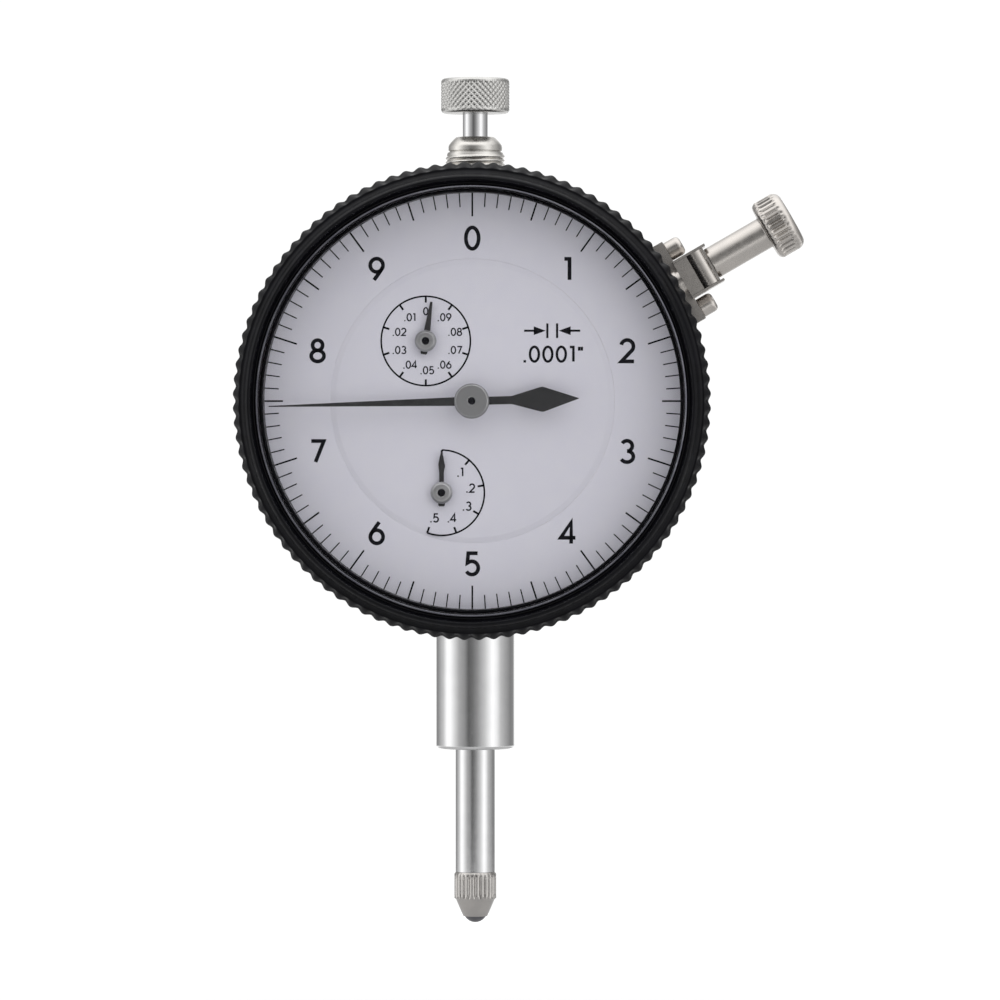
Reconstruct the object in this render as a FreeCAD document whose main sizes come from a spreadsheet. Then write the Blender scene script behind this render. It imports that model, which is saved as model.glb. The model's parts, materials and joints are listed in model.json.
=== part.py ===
import FreeCAD, Part

"""Dial indicator with a rotating bezel, two revolution counters, a lug back and a bezel clamp.

Millimetres, +Z up.  The dial faces -Y.  The origin is on the stem axis, at the stem's lower end.
Each turned piece is a body with a half section that is revolved about its own axis.  Pieces on the
dial side have their axis along Y, stem pieces along Z, and clamp pieces along the clamp's radius.
Depths are Y values, so a piece nearer the viewer has the lower depth.
"""

import math
import os
import re

import Sketcher

SIZES = {
    # Main frame
    "dial_height": 42.1,
    "case_radius": 26.0,
    "case_front": -9.85,
    "case_back": 5.6,
    "ledge_radius": 21.8,
    "ledge_depth": -4.2,
    "case_bore": 24.2,
    "gasket_thickness": 0.3,
    "cover_thickness": 1.2,
    "lug_thickness": 6.35,
    "lug_width": 10.6,
    "lug_hole_radius": 3.175,
    "lug_hole_depth": 12.1,
    # Bezel, crystal and dial
    "bezel_radius": 28.5,
    "bezel_bore": 26.1,
    "bezel_lobes": 100,
    "lobe_height": 0.4,
    "crystal_radius": 25.25,
    "crystal_back": -14.0,
    "crystal_front": -15.2,
    "dial_front": -10.8,
    "dial_back": -10.4,
    "inner_dial_radius": 17.0,
    "ring_gap": 0.1,
    # Stem, spindle and its ends
    "stem_radius": 4.7625,
    "stem_neck": 4.5625,
    "shank_radius": 4.0,
    "stem_grip": 13.2,
    "stem_top": 15.4,
    "stem_bore": 3.3,
    "spindle_radius": 2.4,
    "spindle_tail": 1.525,
    "spindle_foot": -15.0,
    "shoulder_height": 51.4,
    "running_gap": 0.03,
    "bush_top": 74.1,
    "bush_thread": 3.6,
    "knob_radius": 4.15,
    "knob_bottom": 76.9,
    "knob_top": 81.4,
    "point_radius": 2.55,
    "ball_radius": 1.5,
    "tip_height": -21.2,
    # Rack and train
    "rack_pitch": 0.635,
    "rack_bottom": 16.9,
    "rack_top": 34.3,
    "rack_teeth": 16,
    "rack_wheel_teeth": 40,
    "counter_teeth": 90,
    "fine_teeth": 100,
    "pinion_teeth": 10,
    "coarse_module": 0.2,
    "fine_module": 0.165,
    "tooth_share": 0.41,
    "pin_height": 40.0,
    "travel": 12.827,
    # Movement plates
    "rear_plate_front": -5.2,
    "front_plate_back": -8.4,
    "front_plate_front": -9.2,
    "front_plate_radius": 20.8,
    "plate_radius": 24.1,
    "jewel_radius": 1.1,
    "pivot_radius": 0.4,
    "jewel_bore": 0.43,
    # Bezel clamp
    "clamp_angle": 30.0,
    "clamp_depth": -6.2,
    "clamp_screw_spread": 3.93,
    "clamp_shaft": 1.94,
    "clamp_head": 3.7,
}

doc = FreeCAD.newDocument("dial_indicator")
sheet = doc.addObject("Spreadsheet::Sheet", "Sizes")
for row, (alias, value) in enumerate(SIZES.items(), start=1):
    sheet.set(f"A{row}", alias)
    sheet.set(f"B{row}", str(value))
    sheet.setAlias(f"B{row}", alias)
doc.recompute()

ORIGIN = FreeCAD.Vector(0, 0, 0)
AXIS_X, AXIS_Y, AXIS_Z = (FreeCAD.Vector(*v) for v in ((1, 0, 0), (0, 1, 0), (0, 0, 1)))
# Turns that lay a cylinder's own Z axis along the named direction
ALONG = {
    "x": FreeCAD.Rotation(AXIS_Z, AXIS_X),
    "y": FreeCAD.Rotation(AXIS_Z, AXIS_Y),
    "z": FreeCAD.Rotation(),
}
nodes = []


def size(alias):
    return SIZES[alias]


def ref(text):
    """The expression with each alias written as a reference to the sheet."""
    text = str(text)
    return re.sub(r"[a-z][a-z_]+", lambda word: "Sizes." + word[0] if word[0] in SIZES else word[0], text)


def number(text):
    return float(sheet.evalExpression(ref(text)))


def node(thing, label):
    """Names a finished sub-part."""
    thing.Label = label
    nodes.append(thing)
    return thing


def place(thing, x=0, y=0, z=0, turn=None):
    thing.Placement = FreeCAD.Placement(ORIGIN, turn or FreeCAD.Rotation())
    for axis, text in (("x", x), ("y", y), ("z", z)):
        thing.setExpression(f"Placement.Base.{axis}", ref(text))
    return thing


def cylinder(radius, length, x=0, y=0, z=0, along="z"):
    thing = doc.addObject("Part::Cylinder", "Cylinder")
    thing.setExpression("Radius", ref(radius))
    thing.setExpression("Height", ref(length))
    return place(thing, x, y, z, ALONG[along])


def box(length, width, height, x=0, y=0, z=0, turn=None):
    """A box whose lowest corner is at x, y, z."""
    thing = doc.addObject("Part::Box", "Box")
    for name, text in (("Length", length), ("Width", width), ("Height", height)):
        thing.setExpression(name, ref(text))
    return place(thing, x, y, z, turn)


def fuse(*parts):
    thing = doc.addObject("Part::MultiFuse", "Fuse")
    thing.Shapes = list(parts)
    return thing


def cut(base, *tools):
    thing = doc.addObject("Part::Cut", "Cut")
    thing.Base = base
    thing.Tool = tools[0] if len(tools) == 1 else fuse(*tools)
    return thing


def group(*parts):
    thing = doc.addObject("Part::Compound", "Group")
    thing.Links = list(parts)
    return thing


def solid(shape, x=0, y=0, z=0):
    """A piece whose outline is worked out by a formula, placed by the sheet."""
    thing = doc.addObject("Part::Feature", "Formed")
    thing.Shape = shape
    return place(thing, x, y, z)


def body_plane(body, role):
    return next(item for item in body.Origin.OriginFeatures if item.Role == role)


def turned(profile, axis="y", x=0, y=0, z=0, turn=None):
    """A turned piece: profile is a closed list of (radius, position along the axis) texts."""
    body = doc.addObject("PartDesign::Body", "Turned")
    sketch = body.newObject("Sketcher::SketchObject", "HalfSection")
    sketch.AttachmentSupport = [(body_plane(body, "XY_Plane" if axis == "y" else "XZ_Plane"), "")]
    sketch.MapMode = "FlatFace"
    spots = [FreeCAD.Vector(number(radius), number(along), 0) for radius, along in profile]
    count = len(spots)
    for index, spot in enumerate(spots):
        sketch.addGeometry(Part.LineSegment(spot, spots[(index + 1) % count]), False)
    for index in range(count):
        sketch.addConstraint(Sketcher.Constraint("Coincident", index, 2, (index + 1) % count, 1))
    for index, (texts, spot) in enumerate(zip(profile, spots)):
        distances = (("DistanceX", texts[0], spot.x, -2), ("DistanceY", texts[1], spot.y, -1))
        for kind, text, value, line in distances:
            if abs(value) < 1e-9:
                sketch.addConstraint(Sketcher.Constraint("PointOnObject", index, 1, line))
                continue
            rule = sketch.addConstraint(Sketcher.Constraint(kind, -1, 1, index, 1, value))
            sketch.setExpression(f"Constraints[{rule}]", ref(text))
    turning = body.newObject("PartDesign::Revolution", "Turning")
    turning.Profile = sketch
    turning.ReferenceAxis = (sketch, ["V_Axis"])
    turning.Angle = 360
    return place(body, x, y, z, turn)


def ring(outer, inner, back, front):
    """The half section of a plain ring between two depths."""
    return [(inner, back), (outer, back), (outer, front), (inner, front)]


def rod(steps):
    """The half section of a stepped rod: steps are (radius, start, end) from one end to the other."""
    outline = [("0", steps[0][1])]
    for radius, start, end in steps:
        outline += [(radius, start), (radius, end)]
    return outline + [("0", steps[-1][2])]


# ---------------------------------------------------------------------------------------------
# Where the arbors stand, as offsets from the dial's centre
# ---------------------------------------------------------------------------------------------
rack_module = size("rack_pitch") / math.pi
rack_pinion_radius = size("rack_teeth") * rack_module / 2
coarse_distance = (size("counter_teeth") + size("pinion_teeth")) * size("coarse_module") / 2
rack_distance = (size("rack_wheel_teeth") + size("pinion_teeth")) * size("coarse_module") / 2
fine_distance = (size("fine_teeth") + size("pinion_teeth")) * size("fine_module") / 2
centre = (0.0, 0.0)
lower = (-3.65, -10.95)
upper = (-0.6116 * fine_distance, 0.7912 * fine_distance)


def meeting(start, start_distance, end, end_distance, side):
    """The point at the given distances from two arbors, on the chosen side of the line between them."""
    gap = math.dist(start, end)
    along = (start_distance**2 - end_distance**2 + gap**2) / (2 * gap)
    out = side * math.sqrt(start_distance**2 - along**2)
    run = ((end[0] - start[0]) / gap, (end[1] - start[1]) / gap)
    return (start[0] + run[0] * along - run[1] * out, start[1] + run[1] * along + run[0] * out)


second = meeting(centre, fine_distance, lower, coarse_distance, 1)
rack_drop = math.sqrt(rack_distance**2 - (second[0] - rack_pinion_radius) ** 2)
rack_arbor = (rack_pinion_radius, second[1] - rack_drop)


def bearing(start, end):
    return math.atan2(end[1] - start[1], end[0] - start[0])


# ---------------------------------------------------------------------------------------------
# Toothed pieces
# ---------------------------------------------------------------------------------------------
def toothed(teeth, module, depth_from, depth_to, first_tooth, bore=None, windows=0, addendum=0.9):
    """A spur gear about the Y axis with one tooth centred on the bearing first_tooth."""
    pitch = teeth * module / 2
    root, tip = pitch - 1.15 * module, pitch + addendum * module
    half = size("tooth_share") * math.pi / teeth
    # Half angles of the tooth at its root, pitch circle, and tip
    flank = ((root, half * 1.25), (pitch, half), (tip, half * (0.5 if teeth < 20 else 0.62)))
    points = []
    for index in range(teeth):
        middle = first_tooth + 2 * math.pi * index / teeth
        for radius, spread in flank:
            points.append((radius, middle - spread))
        for radius, spread in reversed(flank):
            points.append((radius, middle + spread))
    outline = [FreeCAD.Vector(r * math.cos(a), depth_from, r * math.sin(a)) for r, a in points]
    blank = Part.Face(Part.makePolygon(outline + outline[:1]))
    gear = blank.extrude(FreeCAD.Vector(0, depth_to - depth_from, 0))
    thickness = depth_to - depth_from
    foot = FreeCAD.Vector(0, depth_from, 0)
    if bore:
        gear = gear.cut(Part.makeCylinder(bore, thickness, foot, AXIS_Y))
    for index in range(windows):
        angle = 2 * math.pi * index / windows
        middle = 0.56 * root
        at = FreeCAD.Vector(middle * math.cos(angle), depth_from, middle * math.sin(angle))
        gear = gear.cut(Part.makeCylinder(0.26 * root, thickness, at, AXIS_Y))
    return gear


def arbor_place(spot):
    return {"x": spot[0], "z": f"dial_height + {spot[1]:.6f}"}


def gap_at(tooth_bearing, teeth):
    """The bearing of a tooth when a gap is wanted at the given bearing."""
    return tooth_bearing + math.pi / teeth


def mesh_phase(driver, driver_tooth, driver_teeth, follower, follower_teeth):
    """The bearing of one follower tooth so that it meshes with the driver's teeth."""
    line = bearing(driver, follower)
    step = 2 * math.pi / driver_teeth
    offset = (driver_tooth - line + step / 2) % step - step / 2
    gap = line + math.pi - offset * driver_teeth / follower_teeth
    return gap_at(gap, follower_teeth)


rack_phase = math.pi
rack_wheel_phase = bearing(rack_arbor, second)
rear_pinion_phase = mesh_phase(
    rack_arbor, rack_wheel_phase, size("rack_wheel_teeth"), second, size("pinion_teeth")
)
front_pinion_phase = rear_pinion_phase
counter_phase = mesh_phase(second, front_pinion_phase, size("pinion_teeth"), lower, size("counter_teeth"))
second_phase = bearing(second, centre)
centre_phase = mesh_phase(second, second_phase, size("fine_teeth"), centre, size("pinion_teeth"))
upper_phase = mesh_phase(centre, centre_phase, size("pinion_teeth"), upper, size("fine_teeth"))

# ---------------------------------------------------------------------------------------------
# Case, cover and bezel
# ---------------------------------------------------------------------------------------------
case_blank = turned(
    [
        ("ledge_radius", "case_back"),
        ("case_radius", "case_back"),
        ("case_radius", "-8.0"),
        ("25.3", "-8.05"),
        ("25.3", "-8.6"),
        ("case_radius", "-8.65"),
        ("case_radius", "case_front + 0.2"),
        ("case_radius - 0.2", "case_front"),
        ("case_bore", "case_front"),
        ("case_bore", "ledge_depth"),
        ("ledge_radius", "ledge_depth"),
    ],
    z="dial_height",
)
stem_boss = cut(
    cylinder("stem_neck", "dial_height - case_radius + 2 - stem_top", z="stem_top"),
    cylinder("ledge_radius + 1", 20, y=-10, z="dial_height", along="y"),
)
case_holes = [
    cylinder("shank_radius + 0.02", 8, z="stem_top - 0.5"),
    cylinder("bush_thread + 0.02", 8, z="dial_height + ledge_radius - 1.5"),
]
cover_screw_circle = 23.9
for quarter in range(4):
    turn = math.radians(45 + 90 * quarter)
    across, up = cover_screw_circle * math.cos(turn), cover_screw_circle * math.sin(turn)
    case_holes.append(cylinder(0.8, 4.0, across, "case_back - 4", f"dial_height + {up:.4f}", "y"))
clamp_turn = FreeCAD.Rotation(AXIS_Y, 90 - size("clamp_angle"))


def on_clamp(thing, radial=0.0, across=0.0, depth=0.0):
    """Moves a piece made along Z at the origin to the clamp's radius."""
    angle = math.radians(size("clamp_angle"))
    x = radial * math.cos(angle) + across * math.sin(angle)
    z = radial * math.sin(angle) - across * math.cos(angle)
    thing.Placement = FreeCAD.Placement(ORIGIN, clamp_turn)
    thing.setExpression("Placement.Base.x", ref(f"{x:.6f}"))
    thing.setExpression("Placement.Base.y", ref(f"{depth:.6f}"))
    thing.setExpression("Placement.Base.z", ref(f"dial_height + {z:.6f}"))
    return thing


def clamp_box(length, depth, height, radial, across, back):
    """A block centred across the clamp's radius, from radial outwards, with its front edge at back."""
    block = doc.addObject("Part::Box", "ClampBlock")
    block.Length, block.Width, block.Height = length, depth, height
    angle = math.radians(size("clamp_angle"))
    shift = across - length / 2
    x = radial * math.cos(angle) + shift * math.sin(angle)
    z = radial * math.sin(angle) - shift * math.cos(angle)
    block.Placement = FreeCAD.Placement(ORIGIN, clamp_turn)
    block.setExpression("Placement.Base.x", ref(f"{x:.6f}"))
    block.setExpression("Placement.Base.y", ref(f"{back:.6f}"))
    block.setExpression("Placement.Base.z", ref(f"dial_height + {z:.6f}"))
    return block


def clamp_across(radius, length, radial, depth):
    """A pin that lies across the clamp's radius, centred on it."""
    pin = doc.addObject("Part::Cylinder", "ClampAcross")
    pin.Radius, pin.Height = radius, length
    angle = math.radians(size("clamp_angle"))
    x = radial * math.cos(angle) - length / 2 * math.sin(angle)
    z = radial * math.sin(angle) + length / 2 * math.cos(angle)
    pin.Placement = FreeCAD.Placement(ORIGIN, FreeCAD.Rotation(AXIS_Y, 180 - size("clamp_angle")))
    pin.setExpression("Placement.Base.x", ref(f"{x:.6f}"))
    pin.setExpression("Placement.Base.y", ref(f"{depth:.6f}"))
    pin.setExpression("Placement.Base.z", ref(f"dial_height + {z:.6f}"))
    return pin


clamp_screw_depth = -1.0
for side in (-1, 1):
    hole = doc.addObject("Part::Cylinder", "ClampScrewHole")
    hole.Radius, hole.Height = 0.72, 5.0
    case_holes.append(on_clamp(hole, 22.5, side * size("clamp_screw_spread"), clamp_screw_depth))
node(cut(fuse(case_blank, stem_boss), *case_holes), "case")

gasket_section = ring("case_radius - 0.3", "ledge_radius", "case_back + gasket_thickness", "case_back")
gasket = turned(gasket_section, z="dial_height")
cover_back = "case_back + gasket_thickness + cover_thickness"
cover_disc = turned(
    [
        ("0", "case_back + gasket_thickness"),
        ("case_radius", "case_back + gasket_thickness"),
        ("case_radius", f"{cover_back} - 0.4"),
        ("case_radius - 0.4", cover_back),
        ("0", cover_back),
    ],
    z="dial_height",
)
lug = fuse(
    box(
        "lug_thickness", f"lug_hole_depth - ({cover_back}) + 0.2", "lug_width",
        "-lug_thickness / 2", f"{cover_back} - 0.2", "dial_height - lug_width / 2",
    ),
    cylinder("lug_width / 2", "lug_thickness", "-lug_thickness / 2", "lug_hole_depth", "dial_height", "x"),
)
cover_holes = []
gasket_holes = []
cover_screws = []
for quarter in range(4):
    turn = math.radians(45 + 90 * quarter)
    across = cover_screw_circle * math.cos(turn)
    up = f"dial_height + {cover_screw_circle * math.sin(turn):.4f}"
    cover_holes.append(cylinder(0.85, 3, across, "case_back", up, "y"))
    gasket_holes.append(cylinder(0.9, 3, across, "case_back - 1", up, "y"))
    head = cylinder(1.65, 1.0, across, cover_back, up, "y")
    shank = cylinder(0.78, "3 + gasket_thickness + cover_thickness", across, "case_back - 3", up, "y")
    slot = box(4.0, 0.5, 0.45, f"{across:.4f} - 2", f"{cover_back} + 0.55", f"{up} - 0.225")
    cover_screws.append(cut(fuse(head, shank), slot))
lug_hole = cylinder(
    "lug_hole_radius", "lug_thickness + 2", "-lug_thickness / 2 - 1", "lug_hole_depth", "dial_height", "x"
)
node(cut(gasket, *gasket_holes), "cover_gasket")
node(cut(fuse(cover_disc, lug), lug_hole, *cover_holes), "back_cover")
node(group(*cover_screws), "back_cover_screws")

bezel_section = [
    ("crystal_radius", "crystal_front + 0.1"),
    ("crystal_radius + 0.35", "crystal_front"),
    ("25.75", "-14.9"),
    ("26.0", "-14.9"),
    ("26.15", "-15.5"),
    ("26.35", "-15.75"),
    ("26.6", "-15.8"),
    ("26.8", "-15.6"),
    ("26.95", "-15.1"),
    ("27.15", "-14.65"),
    ("27.5", "-14.45"),
    ("27.75", "-14.5"),
    ("bezel_radius - 0.35", "-14.0"),
    ("bezel_radius", "-13.5"),
    ("bezel_radius", "-8.6"),
    ("bezel_radius - 0.5", "-8.1"),
    ("27.4", "-8.1"),
    ("27.4", "-5.0"),
    ("bezel_bore", "-5.0"),
    ("bezel_bore", "-7.9"),
    ("bezel_bore + 0.7", "-7.95"),
    ("bezel_bore + 0.7", "-8.7"),
    ("bezel_bore", "-8.75"),
    ("bezel_bore", "-10.05"),
    ("case_bore + 0.4", "-10.05"),
    ("case_bore + 0.4", "dial_back + 0.02"),
    ("crystal_radius", "dial_back + 0.02"),
]


def lobed_disc(lobes, radius, height, depth, start):
    """A disc about the Y axis whose edge is a row of round lobes."""
    valley = radius - height
    edges = []
    for index in range(lobes):
        angles = [2 * math.pi * (index + share) / lobes for share in (0, 0.5, 1)]
        spots = [
            FreeCAD.Vector(r * math.cos(a), start, r * math.sin(a))
            for r, a in zip((valley, radius, valley), angles)
        ]
        edges.append(Part.Arc(*spots).toShape())
    return Part.Face(Part.Wire(edges)).extrude(FreeCAD.Vector(0, depth, 0))


def common(base, tool):
    thing = doc.addObject("Part::Common", "Common")
    thing.Base, thing.Tool = base, tool
    return thing


lobed = lobed_disc(size("bezel_lobes"), size("bezel_radius"), size("lobe_height"), 14, -16.5)
lobes = solid(lobed, z="dial_height")
node(common(turned(bezel_section, z="dial_height"), lobes), "bezel")
node(turned(ring("26.4", "25.35", "-8.05 - 0.03", "-8.6 + 0.03"), z="dial_height"), "bezel_snap_ring")
node(
    turned(
        [
            ("0", "crystal_back"),
            ("crystal_radius - 0.03", "crystal_back"),
            ("crystal_radius - 0.03", "crystal_front + 0.25"),
            ("crystal_radius - 0.25", "crystal_front + 0.02"),
            ("0", "crystal_front + 0.02"),
        ],
        z="dial_height",
    ),
    "crystal",
)
spacer_section = ring("crystal_radius - 0.03", "24.85", "dial_front", "crystal_back")
node(turned(spacer_section, z="dial_height"), "bezel_spacer_ring")
scale_section = ring("crystal_radius - 0.03", "inner_dial_radius + ring_gap", "dial_back", "dial_front")
node(turned(scale_section, z="dial_height"), "scale_ring")
dial_thickness = "dial_back - dial_front"
dial_disc = cylinder("inner_dial_radius", dial_thickness, y="dial_front", z="dial_height", along="y")
dial_holes = [
    cylinder(radius, 2, spot[0], -12, f"dial_height + {spot[1]:.4f}", "y")
    for radius, spot in ((1.0, centre), (0.8, upper), (0.8, lower))
]
node(cut(dial_disc, *dial_holes), "inner_dial")

# ---------------------------------------------------------------------------------------------
# Stem, bushings, spindle and its ends
# ---------------------------------------------------------------------------------------------
node(
    turned(
        [
            ("stem_bore", "0.0"),
            ("stem_radius - 0.25", "0.0"),
            ("stem_radius", "0.25"),
            ("stem_radius", "stem_grip"),
            ("stem_neck", "stem_grip + 0.2"),
            ("stem_neck", "stem_top"),
            ("shank_radius", "stem_top"),
            ("shank_radius", "19.8"),
            ("stem_bore", "19.8"),
        ],
        axis="z",
    ),
    "stem",
)
node(turned(ring("stem_bore - 0.01", "spindle_radius + running_gap", 13.5, 0.4), axis="z"), "stem_bushing")
node(
    turned(
        [
            ("spindle_tail + running_gap", "dial_height + ledge_radius + 0.8"),
            ("bush_thread", "dial_height + ledge_radius + 0.8"),
            ("bush_thread", "72.2"),
            ("3.0", "72.3"),
            ("3.0", "72.8"),
            ("3.3", "72.9"),
            ("3.3", "73.1"),
            ("2.55", "bush_top"),
            ("spindle_tail + running_gap", "bush_top"),
        ],
        axis="z",
    ),
    "upper_bushing",
)
spindle_rod = turned(
    rod(
        [
            ("spindle_radius", "spindle_foot", "shoulder_height"),
            ("spindle_tail", "shoulder_height", "knob_top - 1.2"),
        ]
    ),
    axis="z",
)


def rack_tool():
    """The material removed beside the half-round stretch, with the rack teeth left on its flat."""
    pitch = size("rack_pitch")
    module = pitch / math.pi
    mesh_height = size("dial_height") + rack_arbor[1]
    low, high = size("rack_bottom"), size("rack_top")
    # The pinion has a tooth facing the rack, so the rack has a gap at the pinion's height
    first = math.ceil((low + 0.6 - mesh_height) / pitch - 0.5) + 0.5
    last = math.floor((high - 0.6 - mesh_height) / pitch - 0.5) + 0.5
    root, tip = -1.15 * module, 0.9 * module
    half = size("tooth_share") * pitch / 2
    edge = [(4.0, low), (root, low)]
    for index in range(int(last - first) + 1):
        middle = mesh_height + (first + index) * pitch
        edge += [(root, middle - 1.3 * half), (0.0, middle - half), (tip, middle - 0.6 * half)]
        edge += [(tip, middle + 0.6 * half), (0.0, middle + half), (root, middle + 1.3 * half)]
    edge += [(root, high), (4.0, high)]
    spots = [FreeCAD.Vector(x, -3, z) for x, z in edge]
    return Part.Face(Part.makePolygon(spots + spots[:1])).extrude(FreeCAD.Vector(0, 6, 0))


point_hole = cylinder(1.3, 6, z="spindle_foot")
pin_hole = cylinder(0.68, 3, -3.2, 0, "pin_height", "x")
node(cut(spindle_rod, solid(rack_tool()), point_hole, pin_hole), "spindle")
node(cylinder(0.68, 8.1, -8.5, 0, "pin_height", "x"), "guide_pin")
node(
    turned(
        [
            ("0", "tip_height + 0.9"),
            ("1.35", "tip_height + 0.9"),
            ("1.5", "tip_height + 0.75"),
            ("2.35", "-18.4"),
            ("point_radius", "-18.2"),
            ("point_radius", "spindle_foot - 0.25"),
            ("point_radius - 0.25", "spindle_foot"),
            ("1.25", "spindle_foot"),
            ("1.25", "spindle_foot + 5"),
            ("0", "spindle_foot + 5"),
        ],
        axis="z",
    ),
    "contact_point_blank",
)
contact_blank = nodes.pop()
ball_seat = doc.addObject("Part::Sphere", "BallSeat")
ball_seat.setExpression("Radius", ref("ball_radius"))
place(ball_seat, z="tip_height + ball_radius")
node(cut(contact_blank, ball_seat), "contact_point")
ball = doc.addObject("Part::Sphere", "Ball")
ball.setExpression("Radius", ref("ball_radius"))
node(place(ball, z="tip_height + ball_radius"), "contact_ball")
node(
    turned(
        [
            ("spindle_tail + 0.01", "knob_bottom"),
            ("knob_radius - 0.5", "knob_bottom"),
            ("knob_radius", "knob_bottom + 0.5"),
            ("knob_radius", "knob_top - 0.6"),
            ("knob_radius - 0.2", "knob_top - 0.2"),
            ("knob_radius - 0.6", "knob_top"),
            ("0", "knob_top"),
            ("0", "knob_top - 1.2"),
            ("spindle_tail + 0.01", "knob_top - 1.2"),
        ],
        axis="z",
    ),
    "lifting_knob",
)

# ---------------------------------------------------------------------------------------------
# Spindle guide and return spring
# ---------------------------------------------------------------------------------------------
guide_bar = box(2, 6.0, 20, -6.2, "ledge_depth", "pin_height - 3.5")
guide_slot = box(4, 1.42, "travel + 1.5", -7.2, -0.71, "pin_height - 0.75")
guide_bores = [
    cylinder(0.62, 3, -5.2, "ledge_depth", f"pin_height + {rise}", "y") for rise in (-2.6, 15.6)
]
node(cut(guide_bar, guide_slot, *guide_bores), "rack_guide")
node(
    group(
        *(
            fuse(
                cylinder(0.6, 3.4, -5.2, "rear_plate_front", f"pin_height + {rise}", "y"),
                cylinder(1.1, 0.5, -5.2, "rear_plate_front - 0.5", f"pin_height + {rise}", "y"),
            )
            for rise in (-2.6, 15.6)
        )
    ),
    "guide_screws",
)
spring_line = -7.5
anchor_height = 25.5
node(cylinder(0.55, 5.2, spring_line, "ledge_depth", anchor_height, "y"), "spring_anchor_post")


def coil_spring():
    """An extension spring about Z with an eye at each end, round the post and round the guide pin."""
    wire, coil, turns = 0.15, 0.95, 18
    low, high = anchor_height + 1.9, size("pin_height") - 1.9
    helix = Part.makeHelix((high - low) / turns, high - low, coil)
    helix.translate(FreeCAD.Vector(spring_line, 0, low))
    start = FreeCAD.Vector(spring_line + coil, 0, low)
    section = Part.Wire(Part.makeCircle(wire, start, AXIS_Y))
    coils = Part.Wire(helix.Edges).makePipeShell([section], True, True)
    lower_eye = Part.makeTorus(0.85, wire, FreeCAD.Vector(spring_line, 0, anchor_height), AXIS_Y)
    upper_eye = Part.makeTorus(0.95, wire, FreeCAD.Vector(spring_line, 0, size("pin_height")), AXIS_X)
    eye_top = anchor_height + 0.8
    lower_leg = Part.makeCylinder(wire, low - eye_top, FreeCAD.Vector(spring_line, 0, eye_top))
    ends = [FreeCAD.Vector(spring_line, 0, height) for height in (low, high)]
    upper_leg = Part.makeCylinder(wire, size("pin_height") - 0.9 - high, ends[1])
    arms = [Part.makeCylinder(wire, coil, end, AXIS_X) for end in ends]
    knees = [Part.makeSphere(wire, end) for end in ends]
    return coils.fuse([lower_eye, upper_eye, lower_leg, upper_leg, *arms, *knees])


node(solid(coil_spring()), "return_spring")

# ---------------------------------------------------------------------------------------------
# Movement plates, pillars and jewels
# ---------------------------------------------------------------------------------------------
arbors = {"centre": centre, "upper": upper, "lower": lower, "second": second}


def drilled(spots, radius, length, depth):
    return [cylinder(radius, length, x, depth, f"dial_height + {z:.6f}", "y") for x, z in spots]


def polar(radius, degrees):
    return (radius * math.cos(math.radians(degrees)), radius * math.sin(math.radians(degrees)))


pillar_spots = [polar(19.2, degrees) for degrees in (20, 100, 205, -35)]
foot_spots = [polar(14.0, degrees) for degrees in (-30, 45, 120, 190)]
plate_screw_spots = [polar(23.0, degrees) for degrees in (62, 155, 320)]
guide_spots = [(-5.2, size("pin_height") + rise - size("dial_height")) for rise in (-2.6, 15.6)]
bridge_screw_spots = [(8.1, rack_arbor[1] + 0.05), (8.1, rack_arbor[1] - 2.8)]
rear_spots = list(arbors.values()) + [rack_arbor]

rear_plate = cylinder(
    "plate_radius", "ledge_depth - rear_plate_front", y="rear_plate_front", z="dial_height", along="y"
)
node(
    cut(
        rear_plate,
        *drilled(rear_spots, "jewel_radius", 2, "rear_plate_front - 0.5"),
        *drilled(pillar_spots, 0.62, 2, "rear_plate_front - 0.5"),
        *drilled(plate_screw_spots, 0.72, 2, "rear_plate_front - 0.5"),
        *drilled(guide_spots, 0.62, 2, "rear_plate_front - 0.5"),
        *drilled(bridge_screw_spots, 0.62, 2, "rear_plate_front - 0.5"),
    ),
    "movement_rear_plate",
)
front_plate_thickness = "front_plate_back - front_plate_front"
front_plate = cylinder(
    "front_plate_radius", front_plate_thickness, y="front_plate_front", z="dial_height", along="y"
)
node(
    cut(
        front_plate,
        *drilled(arbors.values(), "jewel_radius", 2, "front_plate_front - 0.5"),
        *drilled(pillar_spots, 0.62, 2, "front_plate_front - 0.5"),
    ),
    "movement_front_plate",
)
pillars, pillar_screws = [], []
for x, z in pillar_spots:
    up = f"dial_height + {z:.6f}"
    sleeve = cylinder(1.4, "rear_plate_front - front_plate_back", x, "front_plate_back", up, "y")
    pillars.append(cut(sleeve, cylinder(0.62, 4, x, "front_plate_back - 0.2", up, "y")))
    shank = cylinder(0.6, "ledge_depth - front_plate_front", x, "front_plate_front", up, "y")
    head = cylinder(1.3, 0.5, x, "front_plate_front - 0.5", up, "y")
    slot = box(3.0, 0.25, 0.3, f"{x:.4f} - 1.5", "front_plate_front - 0.6", f"{up} - 0.15")
    pillar_screws.append(cut(fuse(shank, head), slot))
node(group(*pillars), "movement_pillars")
node(group(*pillar_screws), "pillar_screws")
plate_screws = []
for x, z in plate_screw_spots:
    up = f"dial_height + {z:.6f}"
    shank = cylinder(0.7, "ledge_depth - rear_plate_front", x, "rear_plate_front", up, "y")
    head = cylinder(1.0, 0.6, x, "rear_plate_front - 0.6", up, "y")
    plate_screws.append(fuse(shank, head))
node(group(*plate_screws), "plate_screws")
feet = [
    cylinder(0.8, "front_plate_front - dial_back", x, "dial_back", f"dial_height + {z:.6f}", "y")
    for x, z in foot_spots
]
node(group(*feet), "dial_feet")


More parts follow.
